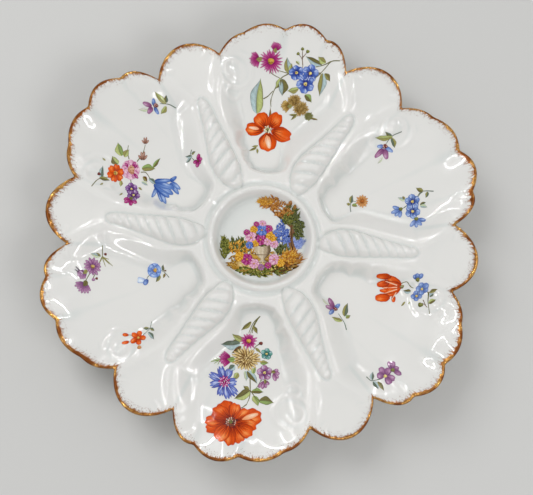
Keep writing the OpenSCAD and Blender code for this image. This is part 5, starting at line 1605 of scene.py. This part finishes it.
# %% Urn
URN_X, URN_LIT = 0.02, -0.35
URN_SIDE = [
    (0.030, -0.62), (0.13, -0.60), (0.13, -0.57), (0.05, -0.54), (0.05, -0.50), (0.14, -0.42),
    (0.19, -0.30), (0.17, -0.22), (0.22, -0.18), (0.22, -0.15)]
round_urn = np.linspace(-1, 1, 9)
urn_rows = np.array([[(URN_X + half * v, y) for v in round_urn] for half, y in URN_SIDE])
urn_tone = 0.62 - 0.5 * (round_urn - URN_LIT) ** 2 + 0.10 * np.cos(round_urn * 12)
urn_tones = np.broadcast_to(urn_tone, urn_rows.shape[:2])
picture.lay(urn_rows, picture.tinted(urn_tones, STONE, 0.0), 6)
strokes(picture, [((-0.19, -0.165), (0.23, -0.165)), ((-0.15, -0.41), (0.17, -0.41)),
                  ((-0.10, -0.585), (0.14, -0.585))], 0.022, (126, 100, 70), layer=7)

# %% Flowers of the urn and the bank
shower((0.02, -0.05), (0.30, 0.16), 110, 0.12, 0.05, TREE_GREEN, 90, 90, layer=7)
BLOOMS = [((-0.24, 0.00), 0.14, ROSE_PINK), ((0.22, 0.02), 0.13, SUN_GOLD),
          ((0.00, 0.18), 0.14, SKY_BLUE), ((-0.03, -0.05), 0.14, MAGENTA),
          ((0.28, -0.15), 0.10, ROSE_PINK), ((-0.17, 0.19), 0.10, SUN_GOLD),
          ((0.16, 0.21), 0.10, MAGENTA), ((-0.28, -0.18), 0.09, SKY_BLUE),
          ((0.02, 0.33), 0.09, ROSE_PINK), ((-0.12, 0.32), 0.07, MAGENTA),
          ((0.13, -0.10), 0.09, ROSE_PINK), ((-0.14, -0.13), 0.09, SUN_GOLD),
          ((0.33, 0.10), 0.08, SKY_BLUE), ((-0.34, 0.12), 0.08, MAGENTA),
          ((-0.34, -0.52), 0.14, MAGENTA), ((-0.18, -0.62), 0.12, ROSE_PINK),
          ((0.28, -0.52), 0.13, ROSE_PINK), ((0.42, -0.60), 0.10, SUN_GOLD),
          ((-0.50, -0.46), 0.12, SUN_GOLD), ((-0.02, -0.70), 0.08, LILAC),
          ((0.14, -0.66), 0.08, MAGENTA)]
BLOOM_RINGS, BLOOM_PETALS = (1.0, 0.72, 0.45), 7
for middle, radius, palette in BLOOMS:
    for ring, share in enumerate(BLOOM_RINGS):
        count = BLOOM_PETALS - ring
        for k in range(count):
            a = 360 * k / count + 25 * ring + picture.random.uniform(-8, 8)
            picture.petal(ahead(middle, a, radius * share * 0.3), ahead(middle, a, radius * share),
                          radius * share * 0.95, palette, dome=0.5, rows=5, columns=5, layer=9 + ring)
    picture.dab(middle, (radius * 0.16, radius * 0.16), OCHRE_EYE, sides=8, layer=13)
shower((0.0, -0.70), (0.62, 0.10), 26, 0.05, 0.03, LEMON_EYE, 90, 80, layer=9)
fire(picture, "garden_picture", "centre_medallion")

# %% [markdown]
# The table and the light.
# A pale table and two big soft lamps, as in a small studio. A glazed plate is drawn by what it
# mirrors, so thin lamps set out as window frames stand all round it, and each dimple, shell and
# scroll shows their outline as a crisp curl. The soft lamps light only what is matt and the
# frames only what is glossy, so the level of light and the sharpness of the curls can each be
# set without the other.

# %% Table top
FLOOR_HALF_M = 3.0
floor = mesh_piece("table_top", np.array([(-1, -1, 0), (1, -1, 0), (1, 1, 0), (-1, 1, 0)])
                   * FLOOR_HALF_M / MM, [(0, 1, 2, 3)], smooth=False)
floor_paint, nodes, links, shader = new_material("pale_table")
shader.inputs["Base Color"].default_value = (*ink(205, 205, 203), 1)
shader.inputs["Roughness"].default_value = 0.9
floor.data.materials.append(floor_paint)
print("table top:", 2 * FLOOR_HALF_M, "m wide")

# %% Lamps
PLATE_MIDDLE_M = Vector((0, 0, 0.02))


def facing_plate(place):
    return (PLATE_MIDDLE_M - Vector(place)).to_track_quat("-Z", "Y")


def area_lamp(name, place, size, watts, facing, mirrored=False):
    lamp = bpy.data.lights.new(name, "AREA")
    lamp.shape = "RECTANGLE"
    lamp.size, lamp.size_y = size
    lamp.energy = watts
    holder = bpy.data.objects.new(name, lamp)
    bpy.context.scene.collection.objects.link(holder)
    holder.matrix_world = Matrix.LocRotScale(Vector(place), facing, None)
    holder.visible_glossy = mirrored
    holder.visible_diffuse = not mirrored


def window_frame(name, place, width, height, bar, watts):
    facing = facing_plate(place)
    bars = (((0, height / 2), (width, bar)), ((0, -height / 2), (width, bar)),
            ((width / 2, 0), (bar, height)), ((-width / 2, 0), (bar, height)))
    for number, ((x, y), size) in enumerate(bars):
        spot = Vector(place) + facing @ Vector((x, y, 0))
        bar_watts = watts * max(size) / (width + height) / 2
        area_lamp(f"{name}_{number}", spot, size, bar_watts, facing, mirrored=True)


SOFTBOX_AT, FILL_AT = (-0.55, 0.55, 0.90), (0.60, -0.65, 0.80)
area_lamp("big_softbox", SOFTBOX_AT, (0.7, 0.7), 5.4, facing_plate(SOFTBOX_AT))
area_lamp("front_fill", FILL_AT, (0.6, 0.4), 3.6, facing_plate(FILL_AT))
WINDOWS = [(22, 43), (88, 48), (150, 36), (205, 46), (268, 40), (325, 45)]
WINDOW_RUN, WINDOW_SIZE, WINDOW_BAR, WINDOW_WATTS = 1.0, (0.40, 0.26), 0.005, 1.7
for number, (side_a, tilt_a) in enumerate(WINDOWS):
    flat = WINDOW_RUN * math.sin(math.radians(tilt_a))
    place = (*ahead((0, 0), side_a, flat), WINDOW_RUN * math.cos(math.radians(tilt_a)))
    window_frame(f"window_{number}", place, *WINDOW_SIZE, WINDOW_BAR, WINDOW_WATTS)
print("lamps:", len(bpy.data.lights))

# %% World
WORLD_STRENGTH = 0.55
world = bpy.data.worlds.new("studio")
bpy.context.scene.world = world
world.use_nodes = True
background = world.node_tree.nodes["Background"].inputs
background["Color"].default_value = (1, 1, 1, 1)
background["Strength"].default_value = WORLD_STRENGTH
bpy.context.scene.view_settings.view_transform = "Standard"
print("world:", world.name, WORLD_STRENGTH)
